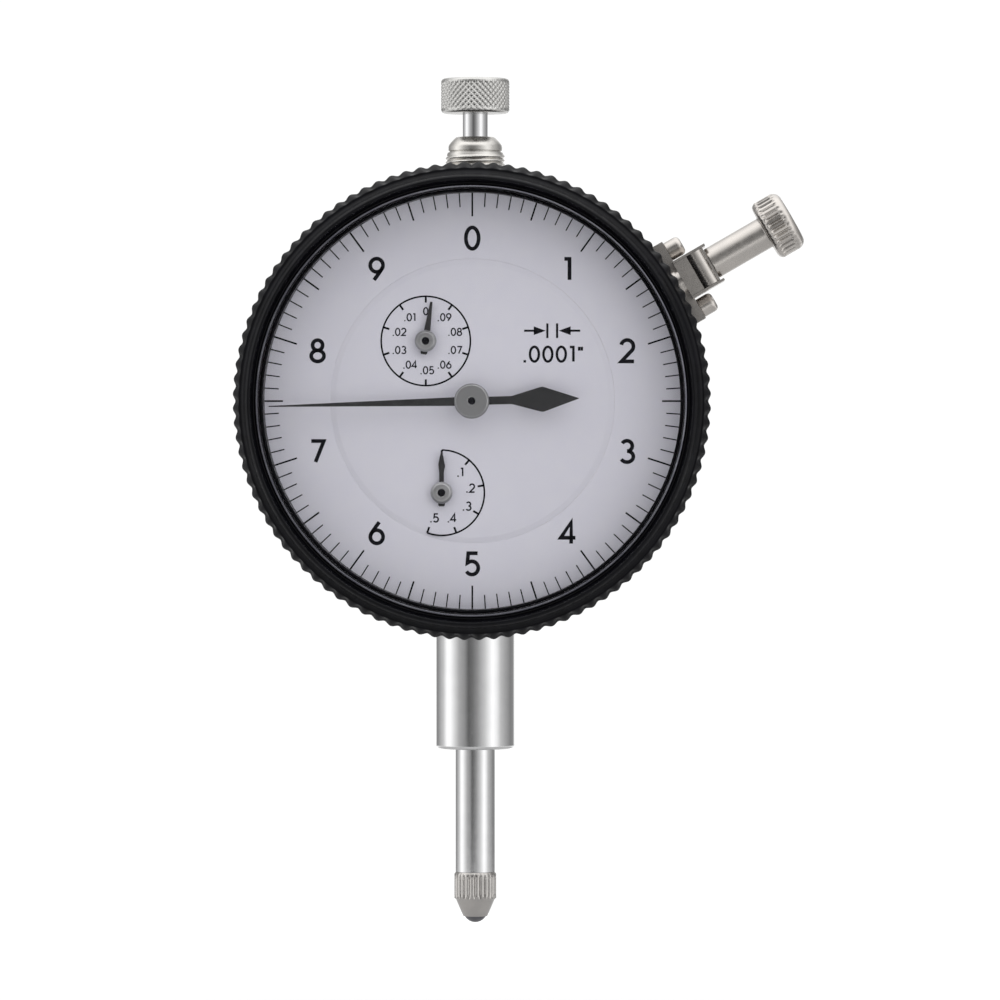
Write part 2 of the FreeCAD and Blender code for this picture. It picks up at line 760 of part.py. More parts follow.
def jewels(spots, start, length):
    rings = []
    for x, z in spots:
        up = f"dial_height + {z:.6f}"
        stone = cylinder("jewel_radius - 0.01", length, x, start, up, "y")
        rings.append(cut(stone, cylinder("jewel_bore", 3, x, f"{start} - 0.5", up, "y")))
    return group(*rings)


node(jewels(rear_spots, "rear_plate_front", "ledge_depth - rear_plate_front"), "rear_jewels")
node(jewels(arbors.values(), "front_plate_front", "front_plate_back - front_plate_front"), "front_jewels")

bridge_back = 3.9
bridge_z = rack_arbor[1]
bridge_plate = box(9.8, 0.9, 3.3, -0.2, bridge_back - 0.9, f"dial_height + {bridge_z - 2.03:.4f}")
leg_base = f"dial_height + {bridge_z - 4.03:.4f}"
bridge_leg = box(3.0, f"{bridge_back} - ledge_depth", 5.3, 6.6, "ledge_depth", leg_base)
bridge_bores = drilled(bridge_screw_spots, 0.62, 10, "ledge_depth - 0.5")
bridge_seat = drilled([rack_arbor], "jewel_radius", 2, bridge_back - 1.5)
node(cut(fuse(bridge_plate, bridge_leg), *bridge_bores, *bridge_seat), "pinion_bridge")
node(jewels([rack_arbor], str(bridge_back - 0.9), "0.9"), "bridge_jewel")
bridge_screw_length = f"{bridge_back} - rear_plate_front"
bridge_screws = [
    fuse(
        cylinder(0.6, bridge_screw_length, x, "rear_plate_front", f"dial_height + {z:.6f}", "y"),
        cylinder(1.2, 0.6, x, bridge_back, f"dial_height + {z:.6f}", "y"),
    )
    for x, z in bridge_screw_spots
]
node(group(*bridge_screws), "bridge_screws")

# ---------------------------------------------------------------------------------------------
# Arbors, pinions and wheels
# ---------------------------------------------------------------------------------------------
wheel_bore = 0.62
arbor_radius = 0.6


def geared_arbor(spot, steps, gear):
    """An arbor turned in steps with one pinion cut on it."""
    shaft = turned(rod(steps), **arbor_place(spot))
    return fuse(shaft, solid(gear, **arbor_place(spot)))


rack_gear = toothed(size("rack_teeth"), rack_module, -1.0, 1.0, rack_phase)
rack_steps = [
    ("pivot_radius", bridge_back - 0.05, 2.95),
    (arbor_radius, 2.95, -4.1),
    ("pivot_radius", -4.1, -5.1),
]
node(geared_arbor(rack_arbor, rack_steps, rack_gear), "rack_pinion")
rack_wheel = toothed(
    size("rack_wheel_teeth"), size("coarse_module"), -3.6, -2.9, rack_wheel_phase, wheel_bore
)
node(solid(rack_wheel, **arbor_place(rack_arbor)), "rack_wheel")

second_steps = [
    ("pivot_radius", -2.7, -5.3),
    (arbor_radius, -5.3, -8.3),
    ("pivot_radius", -8.3, -10.1),
]
node(turned(rod(second_steps), **arbor_place(second)), "second_arbor")
rear_gear = toothed(size("pinion_teeth"), size("coarse_module"), -3.7, -2.8, rear_pinion_phase, 0.41)
node(solid(rear_gear, **arbor_place(second)), "second_rear_pinion")
front_gear = toothed(size("pinion_teeth"), size("coarse_module"), -10.0, -9.4, front_pinion_phase, 0.41)
node(solid(front_gear, **arbor_place(second)), "second_front_pinion")
second_gear = toothed(size("fine_teeth"), size("fine_module"), -7.8, -7.3, second_phase, wheel_bore, 5)
node(solid(second_gear, **arbor_place(second)), "second_wheel")

centre_gear = toothed(size("pinion_teeth"), size("fine_module"), -8.0, -6.2, centre_phase)
centre_steps = [
    ("pivot_radius", -4.3, -5.3),
    (0.5, -5.3, -8.3),
    ("pivot_radius", -8.3, -13.2),
]
node(geared_arbor(centre, centre_steps, centre_gear), "centre_pinion")

upper_steps = [
    ("pivot_radius", -4.3, -5.3),
    (arbor_radius, -5.3, -8.3),
    ("pivot_radius", -8.3, -11.9),
]
node(turned(rod(upper_steps), **arbor_place(upper)), "upper_arbor")
upper_gear = toothed(size("fine_teeth"), size("fine_module"), -6.9, -6.4, upper_phase, wheel_bore, 5)
node(solid(upper_gear, **arbor_place(upper)), "upper_wheel")

lower_steps = [
    ("pivot_radius", -4.3, -5.3),
    (arbor_radius, -5.3, -8.3),
    ("pivot_radius", -8.3, -11.9),
]
node(turned(rod(lower_steps), **arbor_place(lower)), "lower_arbor")
counter_gear = toothed(size("counter_teeth"), size("coarse_module"), -9.9, -9.5, counter_phase, 0.42, 5)
node(solid(counter_gear, **arbor_place(lower)), "lower_wheel")

collet = cut(
    cylinder(1.1, 0.7, upper[0], -6.2, f"dial_height + {upper[1]:.6f}", "y"),
    cylinder(wheel_bore, 2, upper[0], -7, f"dial_height + {upper[1]:.6f}", "y"),
)
node(collet, "hairspring_collet")


def hairspring():
    """A flat spiral strip about the Y axis, as a closed outline of an inner and an outer curve."""
    inner, outer, turns, strip = 1.2, 4.3, 5, 0.1
    count = 24 * turns
    centre_line = [
        (inner + (outer - inner) * step / count, 2 * math.pi * turns * step / count)
        for step in range(count + 1)
    ]
    edges = []
    for shift in (-strip / 2, strip / 2):
        spots = [
            FreeCAD.Vector((r + shift) * math.cos(a), -6.1, (r + shift) * math.sin(a))
            for r, a in centre_line
        ]
        curve = Part.BSplineCurve()
        curve.interpolate(spots)
        edges.append(curve.toShape())
    first, last = edges
    caps = [
        Part.LineSegment(first.Vertexes[end].Point, last.Vertexes[end].Point).toShape() for end in (0, 1)
    ]
    outline = Part.Wire(Part.__sortEdges__([first, caps[1], last, caps[0]]))
    return Part.Face(outline).extrude(FreeCAD.Vector(0, 0.5, 0))


node(solid(hairspring(), **arbor_place(upper)), "hairspring")
stud = (upper[0] + 4.3 + 0.55, upper[1])
node(
    cylinder(0.45, "rear_plate_front + 6.3", stud[0], -6.3, f"dial_height + {stud[1]:.6f}", "y"),
    "hairspring_stud",
)

# ---------------------------------------------------------------------------------------------
# Pointers
# ---------------------------------------------------------------------------------------------
def blade(outline, lowest, thickness, heading):
    """A flat pointer: outline gives (distance, half width) from tail to tip along the heading."""
    angle = math.radians(heading)
    run = FreeCAD.Vector(math.cos(angle), 0, math.sin(angle))
    across = FreeCAD.Vector(-math.sin(angle), 0, math.cos(angle))
    base = FreeCAD.Vector(0, lowest, 0)
    sides = [base + run * far + across * half for far, half in outline]
    sides += [base + run * far - across * half for far, half in reversed(outline)]
    return Part.Face(Part.makePolygon(sides + sides[:1])).extrude(FreeCAD.Vector(0, thickness, 0))


def pointer(outline, back, thickness, heading, spot, eye=0.9):
    shape = blade(outline, back - thickness, thickness, heading)
    shape = shape.fuse(Part.makeCylinder(eye, thickness, FreeCAD.Vector(0, back - thickness, 0), AXIS_Y))
    shape = shape.cut(Part.makeCylinder(0.41, 4, FreeCAD.Vector(0, back - 2, 0), AXIS_Y))
    return solid(shape, **arbor_place(spot))


def hub(radius, back, front, spot):
    return turned(
        [
            (0.41, back),
            (radius, back),
            (radius, front + 0.15),
            (radius - 0.15, front),
            (0.41, front),
        ],
        **arbor_place(spot),
    )


main_outline = [(-12.75, 0.02), (-8.5, 1.5), (-4.8, 0.5), (2.2, 0.52), (24.2, 0.08)]
node(pointer(main_outline, -12.5, 0.25, 181.5, centre), "main_pointer")
node(hub(2.1, -12.75, -13.3, centre), "main_pointer_hub")
upper_outline = [(-1.6, 0.36), (1.0, 0.36), (4.7, 0.15)]
node(pointer(upper_outline, -11.3, 0.2, 81.6, upper), "upper_pointer")
node(hub(1.3, -11.5, -11.95, upper), "upper_pointer_hub")
lower_outline = [(-1.6, 0.3), (2.2, 0.28), (3.4, 0.37), (4.2, 0.25), (4.9, 0.05)]
node(pointer(lower_outline, -11.3, 0.2, 90.0, lower), "lower_pointer")
node(hub(1.32, -11.5, -11.95, lower), "lower_pointer_hub")

# ---------------------------------------------------------------------------------------------
# Bezel clamp at the upper right
# ---------------------------------------------------------------------------------------------
spread = size("clamp_screw_spread")
screw_depth = size("clamp_depth")
base_plate = clamp_box(10.6, 6.4, 29.2 - 24.5, 24.5, 0, -4.2)
clamp_front, block_end = -7.9, 32.95
clamp_body = fuse(
    clamp_box(4.4, 10.1, block_end - 29.0, 29.0, 0, clamp_front),
    clamp_across(1.2, 4.4, block_end - 1.22, clamp_front + 0.7),
)
walls = [clamp_box(0.3, 10.1, 33.4 - 29.0, 29.0, side * 2.38, clamp_front) for side in (-1, 1)]
case_relief = cylinder("case_radius + 0.02", 20, y=-10, z="dial_height", along="y")


def clamp_bore(radius, low, high, across, depth):
    bore = doc.addObject("Part::Cylinder", "ClampBore")
    bore.Radius, bore.Height = radius, high - low
    return on_clamp(bore, low, across, depth)


# A cross pin in the thumb screw's groove holds the screw in while it turns
groove_radius, groove_middle, retainer_radius = 0.65, 31.85, 0.3
retainer_depth = screw_depth + groove_radius + retainer_radius + 0.01
bracket_bores = [
    clamp_bore(1.06, 28.0, 33.5, 0, screw_depth),
    clamp_bore(1.34, 28.0, 30.0, 0, screw_depth),
    clamp_across(retainer_radius + 0.01, 4.4, groove_middle, retainer_depth),
]
bracket_bores += [clamp_bore(0.72, 24.0, 30.0, side * spread, clamp_screw_depth) for side in (-1, 1)]
node(cut(fuse(base_plate, clamp_body, *walls), case_relief, *bracket_bores), "clamp_bracket")


node(clamp_across(retainer_radius, 4.36, groove_middle, retainer_depth), "clamp_retaining_pin")


def clamp_turned(profile, radial, across, depth):
    body = turned(profile, axis="z")
    return on_clamp(body, radial, across, depth)


screw_profile = [
    ("0", "0.0"),
    ("0.7", "0.0"),
    ("0.7", "4.7"),
    ("1.2", "4.7"),
    ("1.2", "6.4"),
    ("0.95", "6.7"),
    ("0", "6.7"),
]
node(
    group(*(clamp_turned(screw_profile, 24.5, side * spread, clamp_screw_depth) for side in (-1, 1))),
    "clamp_screws",
)
thumb_profile = [
    ("0", "28.75"),
    ("1.0", "28.75"),
    ("1.0", "31.5"),
    (f"{groove_radius}", "31.5"),
    (f"{groove_radius}", "32.2"),
    ("1.0", "32.2"),
    ("1.0", "33.0"),
    ("clamp_shaft", "33.0"),
    ("clamp_shaft", "40.45"),
    ("clamp_head - 0.5", "40.45"),
    ("clamp_head", "40.95"),
    ("clamp_head", "43.4"),
    ("clamp_head - 0.65", "44.05"),
    ("0", "44.05"),
]
node(clamp_turned(thumb_profile, 0, 0, screw_depth), "thumb_screw")
shoe_profile = [
    ("0", "27.75"),
    ("1.5", "27.75"),
    ("1.5", "28.6"),
    ("1.3", "28.6"),
    ("1.3", "29.6"),
    ("1.04", "29.6"),
    ("1.04", "28.3"),
    ("0", "28.3"),
]
node(clamp_turned(shoe_profile, 0, 0, screw_depth), "clamp_shoe")

# ---------------------------------------------------------------------------------------------
# Checks and export
# ---------------------------------------------------------------------------------------------
doc.recompute()
failed = [thing.Label for thing in doc.Objects if "Invalid" in thing.State or "Error" in thing.State]
failed += [thing.Label for thing in nodes if thing.Shape.isNull() or not thing.Shape.isValid()]
if failed:
    raise RuntimeError(f"these did not build: {failed}")
os.makedirs("parts", exist_ok=True)
for thing in nodes:
    thing.Shape.exportStep(f"parts/{thing.Label}.step")
    print(f"{thing.Label:24s} {len(thing.Shape.Solids):3d} solids {thing.Shape.Volume:12.3f} mm3")
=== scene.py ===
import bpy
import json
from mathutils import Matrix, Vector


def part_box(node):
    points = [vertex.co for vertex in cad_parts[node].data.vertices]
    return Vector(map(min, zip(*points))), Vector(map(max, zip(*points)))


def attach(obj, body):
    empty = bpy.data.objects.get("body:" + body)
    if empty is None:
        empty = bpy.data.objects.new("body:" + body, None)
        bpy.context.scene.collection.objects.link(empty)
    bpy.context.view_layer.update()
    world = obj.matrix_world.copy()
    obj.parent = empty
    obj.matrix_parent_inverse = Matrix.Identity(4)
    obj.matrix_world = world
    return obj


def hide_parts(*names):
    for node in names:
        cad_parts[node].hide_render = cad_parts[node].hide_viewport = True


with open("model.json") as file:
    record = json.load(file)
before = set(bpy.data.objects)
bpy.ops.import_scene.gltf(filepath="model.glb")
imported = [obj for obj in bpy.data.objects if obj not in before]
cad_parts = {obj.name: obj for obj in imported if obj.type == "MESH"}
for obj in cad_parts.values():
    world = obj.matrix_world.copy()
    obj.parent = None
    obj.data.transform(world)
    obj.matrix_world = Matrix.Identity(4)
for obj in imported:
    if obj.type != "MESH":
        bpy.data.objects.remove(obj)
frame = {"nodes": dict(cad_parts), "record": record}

"""The looks of the dial indicator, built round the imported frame.

Shapes are worked out in millimetres in the frame's own axes and turned into metres when a mesh is
made.  The dial faces -Y, so the depth of a dial-side shape falls towards the viewer.
"""

import json
import math

import bmesh
import bpy
from mathutils import Matrix, Vector

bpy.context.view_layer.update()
MM = 0.001
TAU = 2 * math.pi


# ---------------------------------------------------------------------------------------------
# Sizes read from the frame, in millimetres
# ---------------------------------------------------------------------------------------------
def span(node):
    low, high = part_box(node)
    return [value / MM for value in low], [value / MM for value in high]


def middle(node):
    low, high = span(node)
    return [(a + b) / 2 for a, b in zip(low, high)]


def radius_of(node, axis=0):
    low, high = span(node)
    return (high[axis] - low[axis]) / 2


DIAL_Z = middle("crystal")[2]
CRYSTAL_R = radius_of("crystal")
CRYSTAL_FRONT, CRYSTAL_BACK = span("crystal")[0][1], span("crystal")[1][1]
BEZEL_R = radius_of("bezel")
BEZEL_FRONT, BEZEL_BACK = span("bezel")[0][1], span("bezel")[1][1]
CASE_R = radius_of("case")
DIAL_FRONT, DIAL_BACK = span("scale_ring")[0][1], span("scale_ring")[1][1]
INNER_R = radius_of("inner_dial")
SPACER_R = 24.85
UPPER = middle("upper_pointer_hub")
LOWER = middle("lower_pointer_hub")
CENTRE = middle("main_pointer_hub")
STEM_R = radius_of("stem")
KNOB_R = radius_of("lifting_knob")
KNOB_BOTTOM, KNOB_TOP = span("lifting_knob")[0][2], span("lifting_knob")[1][2]
BUSH_TOP, BUSH_FOOT = span("upper_bushing")[1][2], span("upper_bushing")[0][2]
BUSH_R = radius_of("upper_bushing")
POINT_TOP = -15.0
TIP = span("contact_ball")[0][2]
BALL_R = radius_of("contact_ball")
CLAMP_ANGLE = math.radians(30)
CLAMP_DEPTH = middle("thumb_screw")[1]


# ---------------------------------------------------------------------------------------------
# Materials
# ---------------------------------------------------------------------------------------------
class Nodes:
    """A small helper that adds nodes to one material and joins them."""

    def __init__(self, name):
        self.material = bpy.data.materials.new(name)
        self.material.use_nodes = True
        self.tree = self.material.node_tree
        self.tree.nodes.clear()
        self.out = self.tree.nodes.new("ShaderNodeOutputMaterial")
        self.shader = self.tree.nodes.new("ShaderNodeBsdfPrincipled")
        self.tree.links.new(self.shader.outputs[0], self.out.inputs[0])
        self.place = self.tree.nodes.new("ShaderNodeTexCoord").outputs["Object"]

    def add(self, kind, **inputs):
        item = self.tree.nodes.new(kind)
        for name, value in inputs.items():
            socket = item.inputs[name.replace("_", " ")]
            if isinstance(value, bpy.types.NodeSocket):
                self.tree.links.new(value, socket)
            else:
                socket.default_value = value
        return item

    def stretched(self, scale):
        """The object's own coordinates in metres, scaled along each axis."""
        return self.add("ShaderNodeMapping", Vector=self.place, Scale=scale).outputs[0]

    def noise(self, scale, detail=3.0, stretch=None, rough=0.5):
        where = self.stretched(stretch) if stretch else self.place
        item = self.add("ShaderNodeTexNoise", Vector=where, Scale=scale, Detail=detail, Roughness=rough)
        return item.outputs["Fac"]

    def between(self, value, low, high, start=0.3, end=0.7):
        """Maps a 0-1 pattern to a range."""
        item = self.add("ShaderNodeMapRange", Value=value)
        item.inputs["From Min"].default_value = start
        item.inputs["From Max"].default_value = end
        item.inputs["To Min"].default_value = low
        item.inputs["To Max"].default_value = high
        return item.outputs[0]

    def tones(self, value, first, second, start=0.35, end=0.65):
        item = self.add("ShaderNodeValToRGB", Fac=value)
        ramp = item.color_ramp
        ramp.elements[0].position, ramp.elements[0].color = start, (*first, 1)
        ramp.elements[1].position, ramp.elements[1].color = end, (*second, 1)
        return item.outputs[0]

    def bump(self, *layers):
        """Each layer is (height pattern, strength, depth in metres)."""
        normal = None
        for height, strength, depth in layers:
            item = self.add("ShaderNodeBump", Height=height, Strength=strength, Distance=depth)
            if normal is not None:
                self.tree.links.new(normal, item.inputs["Normal"])
            normal = item.outputs[0]
        self.tree.links.new(normal, self.shader.inputs["Normal"])

    def set(self, **inputs):
        for name, value in inputs.items():
            socket = self.shader.inputs[name.replace("_", " ")]
            if isinstance(value, bpy.types.NodeSocket):
                self.tree.links.new(value, socket)
            else:
                socket.default_value = value


def metal(name, light, dark, smooth, rough, lines=None, line_depth=2e-7, grain=0.5):
    """A worked metal: slow tone changes, a fine grain, and tool lines across the stretched axis."""
    n = Nodes(name)
    cloud = n.noise(450.0, 4.0)
    fine = n.noise(22000.0, 2.0)
    n.set(
        Base_Color=n.tones(cloud, dark, light),
        Metallic=1.0,
        Roughness=n.between(n.noise(1800.0, 5.0), smooth, rough),
    )
    layers = [(fine, grain, 2.5e-7)]
    if lines:
        layers.append((n.noise(1.0, 2.0, lines), 1.0, line_depth))
    n.bump(*layers)
    return n.material


def turned_rings(name, light, dark, smooth, rough, at, pitch):
    """A faced metal with fine rings about the Y axis through a point in millimetres."""
    n = Nodes(name)
    shift = n.add("ShaderNodeMapping", Vector=n.place, Location=[-value * MM for value in at])
    flat = n.add("ShaderNodeVectorMath", Vector=shift.outputs[0])
    flat.operation = "MULTIPLY"
    flat.inputs[1].default_value = (1, 0, 1)
    length = n.tree.nodes.new("ShaderNodeVectorMath")
    length.operation = "LENGTH"
    n.tree.links.new(flat.outputs[0], length.inputs[0])
    steps = n.add("ShaderNodeMath")
    steps.operation = "MULTIPLY"
    n.tree.links.new(length.outputs["Value"], steps.inputs[0])
    steps.inputs[1].default_value = 1 / (pitch * MM)
    rings = n.tree.nodes.new("ShaderNodeTexNoise")
    rings.noise_dimensions = "1D"
    rings.inputs["Scale"].default_value = 1.0
    rings.inputs["Detail"].default_value = 3.0
    n.tree.links.new(steps.outputs[0], rings.inputs["W"])
    n.set(
        Base_Color=n.tones(rings.outputs["Fac"], dark, light),
        Metallic=1.0,
        Roughness=n.between(rings.outputs["Fac"], smooth, rough),
    )
    n.bump((rings.outputs["Fac"], 0.6, 3e-6), (n.noise(22000.0, 2.0), 0.3, 1e-6))
    return n.material


def coated(name, first, second, smooth, rough, grain_scale, grain, coat=0.0, gloss=0.5):
    """A lacquered, anodised or printed surface."""
    n = Nodes(name)
    n.set(
        Base_Color=n.tones(n.noise(700.0, 5.0), first, second),
        Metallic=0.0,
        Roughness=n.between(n.noise(3500.0, 4.0), smooth, rough),
        Coat_Weight=coat,
        Coat_Roughness=0.12,
        Specular_IOR_Level=gloss,
    )
    n.bump((n.noise(grain_scale, 3.0), grain, 7e-7), (n.noise(300.0, 2.0), 0.15, 5e-6))
    return n.material


def glass():
    n = Nodes("crystal_clear")
    n.set(
        Base_Color=(0.02, 0.02, 0.024, 1),
        Roughness=n.between(n.noise(900.0, 3.0), 0.01, 0.035),
        IOR=1.49,
        Alpha=0.06,
    )
    n.bump((n.noise(120.0, 1.0), 0.1, 5e-6))
    return n.material


def ruby():
    n = Nodes("ruby")
    n.set(
        Base_Color=n.tones(n.noise(3000.0), (0.25, 0.004, 0.02), (0.45, 0.01, 0.04)),
        Roughness=n.between(n.noise(8000.0), 0.04, 0.1),
        Coat_Weight=0.6,
    )
    n.bump((n.noise(9000.0), 0.1, 1e-6))
    return n.material


# Noise scale along each axis for tool lines that run across that axis
ALONG_STEM = (60.0, 60.0, 26000.0)
ALONG_PLATE = (26000.0, 60.0, 60.0)
MAT = {
    "steel": metal(
        "steel_ground", (0.67, 0.67, 0.675), (0.64, 0.64, 0.645), 0.09, 0.12, ALONG_STEM, 2e-7, grain=0.2
    ),
    "nickel": metal("nickel_satin", (0.55, 0.52, 0.49), (0.50, 0.475, 0.45), 0.24, 0.32, grain=0.5),
    "knob": metal("nickel_knurled", (0.55, 0.545, 0.53), (0.50, 0.495, 0.48), 0.26, 0.34, grain=0.5),
    "bush": metal("nickel_turned", (0.66, 0.64, 0.61), (0.56, 0.545, 0.52), 0.24, 0.34, ALONG_STEM, 3e-7),
    "cap": metal("nickel_dull", (0.60, 0.60, 0.61), (0.52, 0.52, 0.53), 0.3, 0.4, grain=0.6),
    "holder": metal("holder_satin", (0.50, 0.48, 0.46), (0.44, 0.425, 0.41), 0.16, 0.24, grain=0.3),
    "carbide": metal("carbide_polished", (0.20, 0.20, 0.21), (0.14, 0.14, 0.15), 0.08, 0.16, grain=0.2),
    "spring": metal("spring_wire", (0.42, 0.43, 0.46), (0.30, 0.32, 0.38), 0.2, 0.35),
    "brass": metal("brass_ground", (0.78, 0.60, 0.30), (0.66, 0.50, 0.23), 0.22, 0.38, ALONG_PLATE, 5e-7),
    "bezel": coated(
        "bezel_anodised", (0.002, 0.002, 0.003), (0.004, 0.004, 0.006), 0.3, 0.42, 9000.0, 0.3, gloss=0.14
    ),
    "lip": metal("crystal_lip", (0.16, 0.16, 0.18), (0.10, 0.10, 0.12), 0.2, 0.3),
    "case": coated("case_lacquer", (0.012, 0.012, 0.014), (0.02, 0.02, 0.022), 0.3, 0.45, 2500.0, 0.6, 0.25),
    "rubber": coated("seal_rubber", (0.015, 0.015, 0.015), (0.025, 0.025, 0.024), 0.7, 0.9, 6000.0, 0.8),
    "dial": coated("dial_enamel", (0.86, 0.85, 0.95), (0.88, 0.87, 0.96), 0.5, 0.62, 12000.0, 0.25),
    "ink": coated(
        "print_black", (0.003, 0.003, 0.006), (0.006, 0.006, 0.010), 0.5, 0.7, 12000.0, 0.2, gloss=0.15
    ),
    "fine_ink": coated(
        "print_fine", (0.02, 0.02, 0.03), (0.03, 0.03, 0.04), 0.5, 0.7, 12000.0, 0.2, gloss=0.15
    ),
    # Near-black arbor ends: painted shade at the dark centres of the hubs
    "pivot": metal("pivot_painted_shade", (0.05, 0.05, 0.06), (0.03, 0.03, 0.035), 0.2, 0.35),
    "pointer": coated("pointer_enamel", (0.025, 0.025, 0.027), (0.036, 0.036, 0.038), 0.35, 0.5, 9000.0, 0.4),
    "hub": turned_rings("hub_faced", (0.52, 0.52, 0.53), (0.40, 0.40, 0.41), 0.28, 0.42, CENTRE, 0.05),
    "glass": glass(),
    "ruby": ruby(),
}


# ---------------------------------------------------------------------------------------------
# Mesh building
# ---------------------------------------------------------------------------------------------
def finish_mesh(name, mesh, look, body, stands_for=(), sharp=32.0):
    """Turns a bmesh in millimetres into a piece that rides on a body."""
    bmesh.ops.remove_doubles(mesh, verts=mesh.verts, dist=1e-5)
    bmesh.ops.recalc_face_normals(mesh, faces=mesh.faces)
    limit = math.radians(sharp)
    for face in mesh.faces:
        face.smooth = True
    for edge in mesh.edges:
        edge.smooth = edge.is_manifold and edge.calc_face_angle(0.0) < limit
    bmesh.ops.scale(mesh, vec=(MM, MM, MM), verts=mesh.verts)
    data = bpy.data.meshes.new(name)
    mesh.to_mesh(data)
    mesh.free()
    data.materials.append(MAT[look])
    piece = bpy.data.objects.new(name, data)
    bpy.context.scene.collection.objects.link(piece)
    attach(piece, body)
    if stands_for:
        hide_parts(*stands_for)
    return piece


def soften(outline, radius, steps=4, closed=True):
    """Rounds each corner of an outline with a short arc-like curve."""
    rounded = []
    count = len(outline)
    for index, corner in enumerate(outline):
        if not closed and index in (0, count - 1):
            rounded.append(corner)
            continue
        before = Vector(outline[index - 1]) - Vector(corner)
        after = Vector(outline[(index + 1) % count]) - Vector(corner)
        reach = min(radius, before.length * 0.45, after.length * 0.45)
        first = Vector(corner) + before.normalized() * reach
        last = Vector(corner) + after.normalized() * reach
        for step in range(steps + 1):
            t = step / steps
            spot = first * (1 - t) ** 2 + Vector(corner) * 2 * t * (1 - t) + last * t**2
            rounded.append((spot.x, spot.y))
    return rounded


def frame_about(axis, at, turn):
    """The matrix from (across, across, along) to the object's axes in millimetres."""
    if turn is None:
        turn = Matrix.Identity(3) if axis == "z" else Matrix.Rotation(math.radians(90), 3, "X")
    return Matrix.Translation(Vector(at)) @ turn.to_4x4()


def braced(outline, closed):
    """Adds a point close to each end of a long stretch, so its shading stays straight."""
    spots = []
    count = len(outline)
    for index, spot in enumerate(outline):
        spots.append(spot)
        if not closed and index == count - 1:
            continue
        here, after = Vector(spot), Vector(outline[(index + 1) % count])
        run = after - here
        if run.length > 0.8:
            spots += [tuple(here + run.normalized() * 0.08), tuple(after - run.normalized() * 0.08)]
    return spots


def lathe_mesh(outline, axis="y", at=(0, 0, 0), segments=160, wave=None, turn=None, closed=True):
    """A turned form from an outline of (radius, position along the axis), waved by an optional formula."""
    mesh = bmesh.new()
    outline = braced(outline, closed)
    place = frame_about(axis, at, turn)
    sign = -1.0 if axis == "y" and turn is None else 1.0
    rings = []
    for radius, along in outline:
        if radius < 1e-6:
            rings.append([mesh.verts.new(place @ Vector((0, 0, sign * along)))] * segments)
            continue
        ring = []
        for index in range(segments):
            angle = TAU * index / segments
            out = wave(angle, radius, along) if wave else radius
            spot = Vector((out * math.cos(angle), out * math.sin(angle), sign * along))
            ring.append(mesh.verts.new(place @ spot))
        rings.append(ring)
    count = len(rings)
    for index in range(count if closed else count - 1):
        one, two = rings[index], rings[(index + 1) % count]
        for k in range(segments):
            after = (k + 1) % segments
            corners = [one[k], one[after], two[after], two[k]]
            unique = list(dict.fromkeys(corners))
            if len(unique) > 2:
                mesh.faces.new(unique)
    return mesh


def lathe(name, outline, look, body, slot, stands_for=(), sharp=32.0, **how):
    return finish_mesh(name, lathe_mesh(outline, **how), look, body, stands_for, sharp)


def prism(mesh, outline, back, front, at=(0, 0)):
    """Adds a flat plate to the mesh: outline in the dial's plane, between two depths."""
    x0, z0 = at
    rear = [mesh.verts.new((x0 + x, back, z0 + z)) for x, z in outline]
    face = [mesh.verts.new((x0 + x, front, z0 + z)) for x, z in outline]
    mesh.faces.new(rear)
    mesh.faces.new(list(reversed(face)))
    for index in range(len(outline)):
        after = (index + 1) % len(outline)
        mesh.faces.new((rear[index], rear[after], face[after], face[index]))


def ribbon(mesh, path, width, back, front, at=(0, 0), closed=False):
    """Adds a stroke of even width along a path in the dial's plane."""
    count = len(path)
    sides = []
    for index in range(count):
        here = Vector(path[index])
        before = Vector(path[index - 1]) if closed or index else None
        after = Vector(path[(index + 1) % count]) if closed or index < count - 1 else None
        runs = []
        if before is not None:
            runs.append((here - before).normalized())
        if after is not None:
            runs.append((after - here).normalized())
        along = sum(runs, Vector((0, 0))).normalized()
        across = Vector((-along.y, along.x))
        stretch = 1 / max(0.4, across.dot(Vector((-runs[0].y, runs[0].x))))
        sides.append((here + across * width / 2 * stretch, here - across * width / 2 * stretch))
    x0, z0 = at
    levels = []
    for depth in (back, front):
        levels.append([[mesh.verts.new((x0 + p.x, depth, z0 + p.y)) for p in pair] for pair in sides])
    rear, face = levels
    for index in range(count if closed else count - 1):
        after = (index + 1) % count
        mesh.faces.new((face[index][0], face[index][1], face[after][1], face[after][0]))
        mesh.faces.new((rear[index][1], rear[index][0], rear[after][0], rear[after][1]))
        for side in (0, 1):
            mesh.faces.new((rear[index][side], rear[after][side], face[after][side], face[index][side]))
    if not closed:
        for index in (0, count - 1):
            mesh.faces.new((rear[index][0], rear[index][1], face[index][1], face[index][0]))


def arc(centre, across, up, start, end, steps=24):
    """Points on an ellipse, angles in degrees counter-clockwise from the right."""
    spots = []
    for step in range(steps + 1):
        angle = math.radians(start + (end - start) * step / steps)
        spots.append((centre[0] + across * math.cos(angle), centre[1] + up * math.sin(angle)))
    return spots


def loop(centre, across, up, steps=32):
    return arc(centre, across, up, 0, 360, steps)[:-1]


